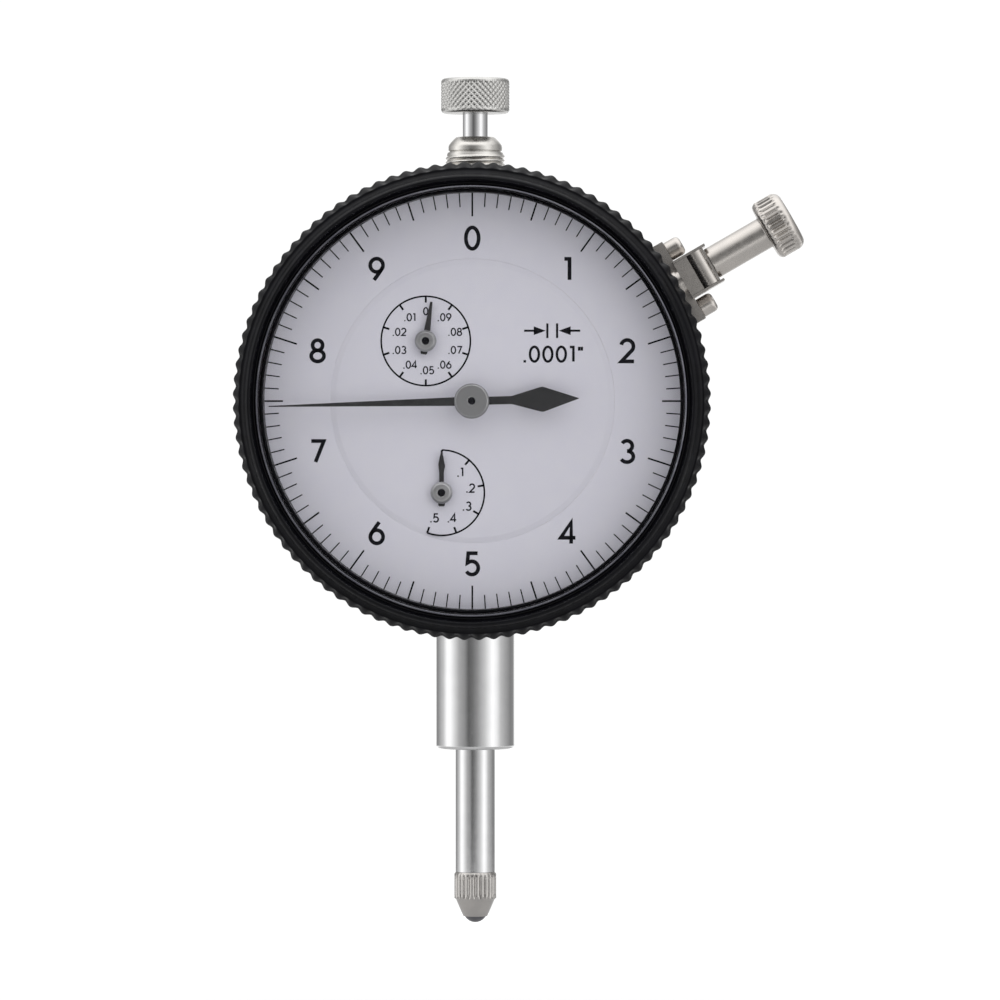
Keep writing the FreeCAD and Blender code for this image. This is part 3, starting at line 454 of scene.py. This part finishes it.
# Each figure is a list of (stroke, closed) in a box that is one unit high
FIGURES = {
    "0": [(loop((0, 0.5), 0.30, 0.5, 40), True)],
    "1": [([(-0.17, 0.985), (0.07, 0.985), (0.07, 0.0)], False)],
    "2": [(arc((0.0, 0.70), 0.29, 0.30, 165, -32) + [(-0.27, 0.0), (0.32, 0.0)], False)],
    "3": [
        (arc((-0.01, 0.755), 0.25, 0.245, 150, -90), False),
        (arc((-0.01, 0.26), 0.30, 0.26, 90, -152), False),
    ],
    "4": [([(0.15, 0.0), (0.15, 1.0), (-0.34, 0.27), (0.35, 0.27)], False)],
    "5": [([(0.25, 1.0), (-0.19, 1.0), (-0.23, 0.54)] + arc((-0.02, 0.31), 0.30, 0.31, 128, -148), False)],
    "6": [
        (loop((0.0, 0.31), 0.30, 0.31), True),
        ([(0.12, 1.0), (-0.05, 0.77), (-0.19, 0.57), (-0.28, 0.40)], False),
    ],
    "7": [([(-0.30, 0.985), (0.29, 0.985), (-0.10, 0.0)], False)],
    "8": [(loop((0, 0.76), 0.235, 0.24), True), (loop((0, 0.26), 0.30, 0.26), True)],
    "9": [
        (loop((0.0, 0.69), 0.30, 0.31), True),
        ([(-0.12, 0.0), (0.05, 0.23), (0.19, 0.43), (0.28, 0.60)], False),
    ],
    ".": [([(0, -0.07), (0, 0.10)], False)],
    '"': [([(-0.09, 1.0), (-0.09, 0.74)], False), ([(0.09, 1.0), (0.09, 0.74)], False)],
}
WIDTHS = {"1": 0.5, ".": 0.34, '"': 0.44}


def write(mesh, text, at, height, stroke, back, front, spacing=0.82):
    """Adds figures centred on a point of the dial."""
    body = height - stroke
    advances = [WIDTHS.get(letter, spacing) * height for letter in text]
    pen = -sum(advances) / 2
    for letter, advance in zip(text, advances):
        pen += advance / 2
        for path, closed in FIGURES[letter]:
            line = [(pen + x * body, (y - 0.5) * body) for x, y in path]
            ribbon(mesh, line, stroke, back, front, at, closed)
        pen += advance / 2


def spoke(angle, inner, outer):
    """The two ends of a radial line, its angle in degrees clockwise from the top."""
    turn = math.radians(90 - angle)
    return [(r * math.cos(turn), r * math.sin(turn)) for r in (inner, outer)]


# ---------------------------------------------------------------------------------------------
# Bezel, crystal and dial
# ---------------------------------------------------------------------------------------------
LOBES = 100
LOBE_HEIGHT = 0.32


def lobe_wave(angle, radius, along):
    """Round bumps on the rim, fading out on the front chamfer."""
    reach = min(1.0, max(0.0, (radius - (BEZEL_R - 0.85)) / 0.55))
    share = (angle * LOBES / TAU) % 1.0
    bump = math.sin(math.pi * share) ** 1.7
    return radius - LOBE_HEIGHT * (1 - bump) * reach


def make_bezel():
    front = BEZEL_FRONT
    outline = [
        (CRYSTAL_R + 0.02, CRYSTAL_FRONT + 0.15),
        (CRYSTAL_R + 0.38, CRYSTAL_FRONT - 0.02),
        (CRYSTAL_R + 0.52, front + 0.95),
        (CRYSTAL_R + 0.78, front + 0.95),
        (CRYSTAL_R + 0.92, front + 0.38),
        (CRYSTAL_R + 1.10, front + 0.06),
        (CRYSTAL_R + 1.35, front),
        (CRYSTAL_R + 1.58, front + 0.22),
        (CRYSTAL_R + 1.75, front + 0.75),
        (CRYSTAL_R + 1.98, front + 1.15),
        (CRYSTAL_R + 2.28, front + 1.32),
        (CRYSTAL_R + 2.50, front + 1.27),
        (BEZEL_R - 0.32, front + 1.85),
        (BEZEL_R, front + 2.35),
        (BEZEL_R, front + 7.15),
        (BEZEL_R - 0.5, front + 7.7),
        (27.4, front + 7.7),
        (27.4, BEZEL_BACK),
        (CASE_R + 0.1, BEZEL_BACK),
        (CASE_R + 0.1, -10.05),
        (24.6, -10.05),
        (24.6, DIAL_BACK + 0.02),
        (CRYSTAL_R + 0.02, DIAL_BACK + 0.02),
    ]
    return lathe(
        "bezel_ring", soften(outline, 0.16, 3), "bezel", "bezel_body", "black_bezel", ["bezel"],
        at=(0, 0, DIAL_Z), segments=LOBES * 12, wave=lobe_wave, sharp=40.0,
    )


def make_crystal():
    outline = [(0, CRYSTAL_BACK), (CRYSTAL_R, CRYSTAL_BACK), (CRYSTAL_R, CRYSTAL_FRONT + 0.28)]
    outline += [(CRYSTAL_R - 0.26, CRYSTAL_FRONT + 0.02), (INNER_R + 7.5, CRYSTAL_FRONT), (0, CRYSTAL_FRONT)]
    return lathe(
        "crystal_disc", outline, "glass", "bezel_body", "crystal", ["crystal"],
        at=(0, 0, DIAL_Z), segments=200, closed=False,
    )


def make_spacer():
    outline = [(SPACER_R, DIAL_FRONT), (CRYSTAL_R, DIAL_FRONT)]
    outline += [(CRYSTAL_R, CRYSTAL_BACK), (SPACER_R, CRYSTAL_BACK)]
    return lathe(
        "spacer_ring", soften(outline, 0.06, 2), "bezel", "bezel_body", "black_bezel", ["bezel_spacer_ring"],
        at=(0, 0, DIAL_Z), segments=240,
    )


def make_crystal_lip():
    """The bright turned edge of the bezel where it meets the crystal."""
    front = CRYSTAL_FRONT
    outline = [(25.40, front + 0.1), (25.40, front - 0.06), (25.48, front - 0.14)]
    outline += [(25.60, front - 0.08), (25.62, front + 0.1)]
    return lathe(
        "crystal_lip", outline, "lip", "bezel_body", "black_bezel", at=(0, 0, DIAL_Z), segments=240,
    )


def make_scale_ring():
    seam = INNER_R - 0.01
    outline = [(seam, DIAL_BACK), (CRYSTAL_R, DIAL_BACK), (CRYSTAL_R, DIAL_FRONT), (seam, DIAL_FRONT)]
    return lathe(
        "scale_disc", soften(outline, 0.05, 2), "dial", "bezel_body", "dial_face", ["scale_ring"],
        at=(0, 0, DIAL_Z), segments=240,
    )


STEP_FRONT = DIAL_FRONT - 0.12
PRINT_BACK = DIAL_FRONT + 0.01
PRINT_FRONT = DIAL_FRONT - 0.012
INNER_PRINT_FRONT = STEP_FRONT - 0.012
RIM_STEPS = 240


def make_scale_print():
    """The hundred graduations and the figures 0 to 9."""
    mesh = bmesh.new()
    at = (0, DIAL_Z)
    for index in range(100):
        length, width = (1.65, 0.14)
        if index % 5 == 0:
            length, width = (2.2, 0.2)
        if index % 10 == 0:
            length, width = (2.8, 0.2)
        line = spoke(index * 3.6, SPACER_R - length, SPACER_R)
        ribbon(mesh, line, width, PRINT_BACK, PRINT_FRONT, at)
    for figure in range(10):
        x, z = spoke(figure * 36, 0, 19.45)[1]
        write(mesh, str(figure), (x, DIAL_Z + z), 3.0, 0.45, PRINT_BACK, PRINT_FRONT)
    return finish_mesh("scale_print", mesh, "ink", "bezel_body")


def make_inner_dial():
    """The fixed dial, its rim sloped off to the turning ring, with three holes for the arbors."""
    mesh = bmesh.new()
    holes = [(0.0, DIAL_Z, 1.0), (UPPER[0], UPPER[2], 0.8), (LOWER[0], LOWER[2], 0.8)]

    def circle(x, z, radius, depth, count):
        ring = []
        for k in range(count):
            angle = TAU * k / count
            ring.append(mesh.verts.new((x + radius * math.cos(angle), depth, z + radius * math.sin(angle))))
        return ring, [mesh.edges.new((ring[k], ring[(k + 1) % count])) for k in range(count)]

    def sheet(depth, radius):
        rings = [circle(0.0, DIAL_Z, radius, depth, RIM_STEPS)]
        rings += [circle(x, z, r, depth, 48) for x, z, r in holes]
        edges = [edge for _, ring_edges in rings for edge in ring_edges]
        bmesh.ops.triangle_fill(mesh, use_beauty=True, edges=edges)
        return [ring for ring, _ in rings]

    def join(one, two):
        for k in range(len(one)):
            after = (k + 1) % len(one)
            mesh.faces.new((one[k], one[after], two[after], two[k]))

    rear = sheet(DIAL_BACK, INNER_R - 0.02)
    face = sheet(STEP_FRONT, INNER_R - 0.75)
    profile = [(0.02, DIAL_FRONT + 0.02), (0.26, DIAL_FRONT - 0.01), (0.62, STEP_FRONT + 0.015)]
    slope = [circle(0.0, DIAL_Z, INNER_R - inset, depth, RIM_STEPS)[0] for inset, depth in profile]
    for one, two in zip([rear[0], *slope], [*slope, face[0]]):
        join(one, two)
    for one, two in zip(rear[1:], face[1:]):
        join(one, two)
    return finish_mesh("inner_dial_disc", mesh, "dial", "root", ["inner_dial"])


def make_dial_print():
    """Both small scales and the graduation mark, on the fixed dial."""
    mesh = bmesh.new()
    fine = bmesh.new()
    x0, z0 = UPPER[0], UPPER[2]
    ribbon(mesh, loop((0, 0), 5.33, 5.33, 120), 0.2, PRINT_BACK, INNER_PRINT_FRONT, (x0, z0), True)
    labels = ["0", ".01", ".02", ".03", ".04", ".05", ".06", ".07", ".08", ".09"]
    for index, label in enumerate(labels):
        angle = -36 * index
        ribbon(mesh, spoke(angle, 4.58, 5.3), 0.24, PRINT_BACK, INNER_PRINT_FRONT, (x0, z0))
        x, z = spoke(angle, 0, 3.5 if index else 3.55)[1]
        shift = 0.16 if index else 0.0
        write(fine, label, (x0 + x + shift, z0 + z), 1.0, 0.16, PRINT_BACK, INNER_PRINT_FRONT, 0.72)
    x0, z0 = LOWER[0], LOWER[2]
    sweep = arc((0, 0), 5.1, 5.1, 90, -110, 90)
    ribbon(mesh, sweep, 0.2, PRINT_BACK, INNER_PRINT_FRONT, (x0, z0))
    for index, label in enumerate(["0", ".1", ".2", ".3", ".4", ".5"]):
        angle = 40 * index
        ribbon(mesh, spoke(angle, 4.36, 5.1), 0.24, PRINT_BACK, INNER_PRINT_FRONT, (x0, z0))
        x, z = spoke(angle, 0, 3.2)[1]
        shift = 0.3 if index == 5 else 0.02
        spot = (x0 + x * 1.08 + shift, z0 + z)
        write(fine, label, spot, 1.14, 0.18, PRINT_BACK, INNER_PRINT_FRONT, 0.72)
    # Graduation mark: two arrows that close on two bars, with the value below
    mark = (9.55, DIAL_Z + 8.4)
    for side in (-1, 1):
        bar = [(side * 0.58, -0.88), (side * 0.58, 0.88)]
        shaft = [(side * 3.35, 0), (side * 1.9, 0)]
        head = [(side * 0.78, 0.0), (side * 2.2, 0.52), (side * 2.2, -0.52)]
        ribbon(mesh, bar, 0.26, PRINT_BACK, INNER_PRINT_FRONT, mark)
        ribbon(mesh, shaft, 0.25, PRINT_BACK, INNER_PRINT_FRONT, mark)
        prism(mesh, head if side > 0 else head[::-1], PRINT_BACK, INNER_PRINT_FRONT, mark)
    write(mesh, '.0001"', (mark[0] + 0.1, DIAL_Z + 5.6), 2.06, 0.3, PRINT_BACK, INNER_PRINT_FRONT, 0.78)
    finish_mesh("dial_print_fine", fine, "fine_ink", "root")
    return finish_mesh("dial_print", mesh, "ink", "root")


# ---------------------------------------------------------------------------------------------
# Pointers
# ---------------------------------------------------------------------------------------------
def bevelled(piece, width, segments=2):
    """Breaks the sharp edges of a piece."""
    edge = piece.modifiers.new("broken_edges", "BEVEL")
    edge.width = width * MM
    edge.segments = segments
    edge.limit_method = "ANGLE"
    edge.angle_limit = math.radians(40)
    edge.harden_normals = False
    return piece


def turned_outline(outline, heading):
    """Mirrors a half outline of (distance, half width) about the heading and turns it."""
    angle = math.radians(heading)
    both = list(outline) + [(far, -half) for far, half in reversed(outline)]
    return [
        (far * math.cos(angle) - half * math.sin(angle), far * math.sin(angle) + half * math.cos(angle))
        for far, half in both
    ]


def make_pointer(name, node, outline, heading, spot, body):
    low, high = span(node)
    mesh = bmesh.new()
    prism(mesh, turned_outline(outline, heading), high[1], low[1], (spot[0], spot[2]))
    piece = finish_mesh(name, mesh, "pointer", body, [node])
    return bevelled(piece, 0.05)


def make_hub(name, node, spot, body, look, rim):
    """A pressed-on boss: flat face, bright broken edge and a countersink round the arbor's end."""
    low, high = span(node)
    radius = radius_of(node)
    front, back = low[1], high[1]
    bore = 0.41
    outline = [(bore, back), (radius - 0.05, back), (radius, back - 0.06)]
    outline += [(radius, front + rim), (radius - rim, front)]
    outline += [(0.52, front), (0.46, front + 0.06), (bore, front + 0.2)]
    return lathe(
        name, soften(outline, 0.05, 3), look, body, "nickel", [node],
        at=(spot[0], 0, spot[2]), segments=72,
    )


def make_pointers():
    """The three hands, each as (distance along it, half width) from its tail to its tip."""
    main = [(-12.78, 0.03), (-8.75, 1.42), (-8.45, 1.5), (-8.1, 1.44), (-4.9, 0.52), (-4.7, 0.48)]
    main += [(-2.0, 0.48), (0.0, 0.62), (2.0, 0.52), (12.0, 0.31), (24.25, 0.06)]
    make_pointer("main_hand", "main_pointer", main, 181.5, CENTRE, "centre_arbor")
    make_hub("main_hub", "main_pointer_hub", CENTRE, "centre_arbor", "hub", 0.22)
    upper = [(-1.62, 0.3), (-1.5, 0.38), (0.0, 0.62), (1.0, 0.40), (4.72, 0.14)]
    make_pointer("upper_hand", "upper_pointer", upper, 81.6, UPPER, "upper_counter")
    make_hub("upper_hub", "upper_pointer_hub", UPPER, "upper_counter", "cap", 0.3)
    lower = [(-1.62, 0.3), (-1.5, 0.38), (0.0, 0.62), (1.0, 0.28)]
    lower += [(2.4, 0.28), (3.4, 0.38), (4.2, 0.24), (4.92, 0.05)]
    make_pointer("lower_hand", "lower_pointer", lower, 90.0, LOWER, "lower_counter")
    make_hub("lower_hub", "lower_pointer_hub", LOWER, "lower_counter", "cap", 0.3)


# ---------------------------------------------------------------------------------------------
# Stem, bushing, knob and contact point
# ---------------------------------------------------------------------------------------------
def diamond(count, pitch, depth):
    """A diamond knurl: two crossing sets of ridges."""

    def wave(angle, radius, along):
        turns = angle * count / TAU
        rise = along / pitch
        ridge = abs(math.sin(math.pi * (turns + rise))) * abs(math.sin(math.pi * (turns - rise)))
        return radius - depth * (1 - ridge**0.6)

    return wave


def only_between(wave, low, high, fade, smallest):
    """Limits a knurl to a stretch of the axis and to the outer radius."""

    def limited(angle, radius, along):
        if radius < smallest:
            return radius
        share = min(1.0, max(0.0, (along - low) / fade), max(0.0, (high - along) / fade))
        return radius + (wave(angle, radius, along) - radius) * max(0.0, share)

    return limited


def rows(radius, low, high, count):
    return [(radius, low + (high - low) * step / count) for step in range(count + 1)]


def make_knob():
    low, high = KNOB_BOTTOM + 0.06, KNOB_TOP - 0.22
    ridges = 36
    outline = [(1.54, low), (2.9, low), (KNOB_R - 0.4, low)]
    outline += [(KNOB_R - 0.17, low + 0.1), (KNOB_R - 0.05, low + 0.28)]
    outline += rows(KNOB_R, low + 0.45, high - 0.45, 64)
    outline += [(KNOB_R - 0.05, high - 0.28), (KNOB_R - 0.17, high - 0.1), (KNOB_R - 0.4, high)]
    outline += [(2.0, high), (0, high)]
    knurl = only_between(diamond(ridges, 0.7, 0.17), low + 0.35, high - 0.35, 0.3, KNOB_R - 0.02)
    return lathe(
        "lifting_cap", outline, "knob", "spindle_body", "nickel", ["lifting_knob"],
        axis="z", segments=ridges * 12, wave=knurl, closed=False, sharp=60.0,
    )


def make_contact_point():
    ribs = 24
    outline = [(0, TIP + 1.1), (1.30, TIP + 0.95), (1.47, TIP + 0.78)]
    outline += [(2.33, POINT_TOP - 3.42), (2.5, POINT_TOP - 3.25)]
    outline += rows(2.55, POINT_TOP - 3.2, POINT_TOP - 0.3, 10)
    outline += [(2.35, POINT_TOP - 0.02), (1.2, POINT_TOP), (0, POINT_TOP)]

    def straight(angle, radius, along):
        return radius - 0.16 * (1 - abs(math.sin(angle * ribs / 2)) ** 0.7)

    knurl = only_between(straight, POINT_TOP - 3.2, POINT_TOP - 0.28, 0.25, 2.4)
    return lathe(
        "contact_tip", outline, "holder", "spindle_body", "steel", ["contact_point"],
        axis="z", segments=ribs * 14, wave=knurl, closed=False, sharp=50.0,
    )


def make_ball():
    heights = [math.radians(degrees) for degrees in range(-90, 91, 6)]
    outline = [(BALL_R * math.cos(a), TIP + BALL_R * (1 + math.sin(a))) for a in heights]
    outline[0], outline[-1] = (0, outline[0][1]), (0, outline[-1][1])
    return lathe(
        "carbide_ball", outline, "carbide", "spindle_body", "carbide", ["contact_ball"],
        axis="z", segments=64, closed=False,
    )


def make_stem():
    """The stem, drawn plain up to its shoulder: the solid's shallow neck behind the bezel is left out."""
    foot, top = span("stem")[0][2], span("stem")[1][2]
    bore, shank, shoulder = 3.3, 4.0, 15.4
    outline = [(bore, foot + 0.12), (3.42, foot), (STEM_R - 0.3, foot)]
    outline += [(STEM_R - 0.08, foot + 0.1), (STEM_R, foot + 0.32), (STEM_R, shoulder)]
    outline += [(shank, shoulder), (shank, top), (bore, top)]
    return lathe("stem_tube", outline, "steel", "root", "steel", ["stem"], axis="z", segments=128)


def make_bushing():
    """The threaded upper bushing: a real helix on the thread, then a groove and a chamfered top."""
    pitch, depth, bore = 0.5, 0.22, 1.56
    outline = [(bore, BUSH_FOOT), (BUSH_R - depth, BUSH_FOOT)]
    outline += rows(BUSH_R, BUSH_FOOT + 0.05, 71.8, 150)
    outline += [(3.42, 71.98), (3.34, 72.2), (3.1, 72.26), (3.1, 72.36), (3.24, 72.44)]
    outline += [(3.26, 72.85), (3.2, 73.1), (2.95, 73.45), (2.5, 73.92)]
    outline += [(2.3, BUSH_TOP - 0.02), (2.1, BUSH_TOP), (bore, BUSH_TOP)]

    def thread(angle, radius, along):
        share = (along / pitch - angle / TAU) % 1.0
        return radius - depth * abs(2 * share - 1) ** 1.2

    helix = only_between(thread, BUSH_FOOT, 72.0, 0.1, BUSH_R - 0.01)
    return lathe(
        "threaded_bushing", outline, "bush", "root", "steel", ["upper_bushing"],
        axis="z", segments=128, wave=helix, sharp=55.0,
    )


# ---------------------------------------------------------------------------------------------
# Bezel clamp
# ---------------------------------------------------------------------------------------------
CLAMP_TURN = Matrix.Rotation(math.pi / 2 - CLAMP_ANGLE, 3, "Y")


def clamp_spot(radial, across=0.0, depth=0.0):
    return (
        radial * math.cos(CLAMP_ANGLE) + across * math.sin(CLAMP_ANGLE),
        depth,
        DIAL_Z + radial * math.sin(CLAMP_ANGLE) - across * math.cos(CLAMP_ANGLE),
    )


def make_thumb_screw():
    """The clamp's screw: a grooved end, a plain shaft and a fluted head."""
    head_r, flutes, shaft, end_r, groove_r = 3.7, 32, 1.94, 1.0, 0.65
    outline = [(0, 28.75), (end_r, 28.75), (end_r, 31.5), (groove_r, 31.5)]
    outline += [(groove_r, 32.2), (end_r, 32.2), (end_r, 33.0)]
    outline += [(shaft - 0.08, 33.0), (shaft, 33.08), (shaft, 40.3), (shaft + 0.12, 40.45)]
    outline += [(head_r - 0.6, 40.45), (head_r - 0.3, 40.55), (head_r - 0.1, 40.78)]
    outline += rows(head_r, 41.0, 43.1, 8)
    outline += [(head_r - 0.06, 43.4), (head_r - 0.22, 43.7), (head_r - 0.45, 43.93)]
    outline += [(head_r - 0.75, 44.05), (0, 44.05)]

    def flute(angle, radius, along):
        return radius - 0.26 * max(0.0, abs(math.sin(angle * flutes / 2)) - 0.5) / 0.5 - 0.01

    knurl = only_between(flute, 40.95, 43.15, 0.2, head_r - 0.01)
    lathe(
        "clamp_thumb_screw", outline, "nickel", "thumb_screw_body", "nickel", ["thumb_screw"],
        axis="z", at=clamp_spot(0, 0, CLAMP_DEPTH), turn=CLAMP_TURN, segments=flutes * 12, wave=knurl,
        closed=False, sharp=45.0,
    )


def make_clamp_screws():
    outline = [(0, 0.0), (0.7, 0.0), (0.7, 4.7), (1.1, 4.7), (1.2, 4.8)]
    outline += [(1.2, 6.15), (1.13, 6.42), (0.95, 6.62), (0.75, 6.7), (0, 6.7)]
    for index, side in enumerate((-1, 1)):
        foot = clamp_spot(24.5, side * 3.93, -1.0)
        mesh = lathe_mesh(outline, axis="z", at=foot, turn=CLAMP_TURN, segments=64, closed=False)
        replaced = ["clamp_screws"] if index == 0 else ()
        finish_mesh(f"clamp_screw_{index + 1}", mesh, "nickel", "root", replaced)


# ---------------------------------------------------------------------------------------------
# Materials on the CAD pieces that keep their own shape
# ---------------------------------------------------------------------------------------------
SLOT_LOOKS = {
    "black_case": "case",
    "black_bezel": "bezel",
    "rubber_seal": "rubber",
    "steel": "steel",
    "nickel": "nickel",
    "carbide": "carbide",
    "spring_steel": "spring",
    "brass": "brass",
    "jewel": "ruby",
    "dial_face": "dial",
    "pointer_black": "pointer",
    "crystal": "glass",
}
# Arbors whose ends show as the dark centres of the hubs; their near-black colour is painted shade in the hubs'
# bores
ARBORS = ("centre_pinion", "upper_arbor", "lower_arbor")


def dress_cad_nodes():
    slots = {part["node"]: part["material_slot"] for part in frame["record"]["subparts"]}
    for name, piece in frame["nodes"].items():
        look = MAT["pivot" if name in ARBORS else SLOT_LOOKS[slots[name]]]
        piece.data.materials.clear()
        piece.data.materials.append(look)


# ---------------------------------------------------------------------------------------------
# Stage, light and camera
# ---------------------------------------------------------------------------------------------
def distance_from_axis(n):
    """The distance from the stem's axis in metres."""
    flat = n.add("ShaderNodeMapping", Vector=n.place, Scale=(1, 1, 0)).outputs[0]
    length = n.add("ShaderNodeVectorMath", Vector=flat)
    length.operation = "LENGTH"
    return length.outputs["Value"]


def make_stage():
    """A round pale floor a little below the contact point; it glows only away from the stem, and its dim
    middle is a painted shade round the object.
    """
    floor_z, radius, steps = TIP - 38.8, 450.0, 96
    mesh = bmesh.new()
    mesh.faces.new([
        mesh.verts.new((radius * math.cos(TAU * k / steps), radius * math.sin(TAU * k / steps), floor_z))
        for k in range(steps)
    ])
    bmesh.ops.scale(mesh, vec=(MM, MM, MM), verts=mesh.verts)
    data = bpy.data.meshes.new("floor")
    mesh.to_mesh(data)
    mesh.free()
    n = Nodes("floor_glow_painted_shade")
    n.set(
        Base_Color=n.tones(n.noise(8.0), (0.50, 0.50, 0.50), (0.52, 0.52, 0.52)),
        Roughness=n.between(n.noise(30.0), 0.85, 0.95),
        Emission_Color=(1, 1, 1, 1),
        # Painted shade: no glow within 220 mm of the stem's axis, rising to full glow at 340 mm
        Emission_Strength=n.between(distance_from_axis(n), 0.0, 0.6, 0.22, 0.34),
    )
    data.materials.append(n.material)
    floor = bpy.data.objects.new("floor", data)
    bpy.context.scene.collection.objects.link(floor)


# Brightness of the surround by compass angle, clockwise from the camera's side seen from above
SURROUND = [
    (-180, 1.05), (-166, 1.02), (-156, 0.42), (-147, 0.28), (-128, 0.5), (-106, 0.84), (-89, 1.58), (-76, 1.5),
    (-60, 0.98), (-47, 0.6), (-30, 0.4), (-18, 0.15), (-6, 0.22), (7, 0.38), (18, 0.6), (30, 0.84), (42, 1.22),
    (54, 1.62), (68, 1.3), (82, 0.76), (99, 0.55), (128, 0.3), (152, 0.36), (164, 1.02), (180, 1.05),
]
SURROUND_PEAK = 1.7
OVERHEAD = 1.75


def make_world():
    """A studio surround: a tall soft box either side of the camera, a pale back, and a soft overhead."""
    world = bpy.data.worlds.new("studio")
    world.use_nodes = True
    bpy.context.scene.world = world
    tree = world.node_tree
    tree.nodes.clear()

    def add(kind, operation=None, *sources):
        item = tree.nodes.new(kind)
        if operation:
            item.operation = operation
        for socket, source in zip(item.inputs, sources):
            if isinstance(source, bpy.types.NodeSocket):
                tree.links.new(source, socket)
            else:
                socket.default_value = source
        return item

    out = add("ShaderNodeOutputWorld")
    sky = add("ShaderNodeBackground")
    tree.links.new(sky.outputs[0], out.inputs[0])
    direction = add("ShaderNodeTexCoord").outputs["Generated"]
    split = add("ShaderNodeSeparateXYZ", None, direction)
    front = add("ShaderNodeMath", "MULTIPLY", split.outputs["Y"], -1.0).outputs[0]
    angle = add("ShaderNodeMath", "ARCTAN2", split.outputs["X"], front).outputs[0]
    share = add("ShaderNodeMath", "MULTIPLY_ADD", angle, 1 / TAU, 0.5).outputs[0]
    ramp = add("ShaderNodeValToRGB", None, share)
    stops = ramp.color_ramp.elements
    for index, (degrees, level) in enumerate(SURROUND):
        position = degrees / 360 + 0.5
        stop = stops[index] if index < 2 else stops.new(position)
        stop.position = position
        stop.color = (level / SURROUND_PEAK,) * 3 + (1,)
    around = add("ShaderNodeMath", "MULTIPLY", ramp.outputs[0], SURROUND_PEAK).outputs[0]
    height = add("ShaderNodeMapRange", None, split.outputs["Z"], 0.45, 0.9, 0.0, 1.0).outputs[0]
    gain = add("ShaderNodeMath", "SUBTRACT", OVERHEAD, around).outputs[0]
    total = add("ShaderNodeMath", "MULTIPLY_ADD", gain, height, around).outputs[0]
    tree.links.new(total, sky.inputs["Strength"])
    sky.inputs["Color"].default_value = (1.0, 1.0, 1.0, 1)


def make_camera():
    """A long lens at the dial's height, a little to the right, framed on the stem's plane."""
    distance, azimuth = 700.0, math.radians(1.9)
    frame_width = 121.34
    target = Vector((3.0, 0.0, DIAL_Z - 12.0))
    place = Vector((distance * math.sin(azimuth), -distance * math.cos(azimuth), DIAL_Z))
    data = bpy.data.cameras.new("camera")
    data.sensor_width = 36.0
    data.lens = data.sensor_width * (place - target).length / frame_width
    data.clip_start = 0.01
    data.clip_end = 10.0
    camera = bpy.data.objects.new("camera", data)
    camera.location = place * MM
    camera.rotation_euler = (target - place).to_track_quat("-Z", "Y").to_euler()
    bpy.context.scene.collection.objects.link(camera)
    bpy.context.scene.camera = camera


dress_cad_nodes()
make_bezel()
make_crystal()
make_spacer()
make_crystal_lip()
make_scale_ring()
make_scale_print()
make_inner_dial()
make_dial_print()
make_pointers()
make_knob()
make_contact_point()
make_ball()
make_stem()
make_bushing()
make_thumb_screw()
make_clamp_screws()
make_stage()
make_world()
make_camera()
bpy.context.scene.view_settings.view_transform = "Standard"
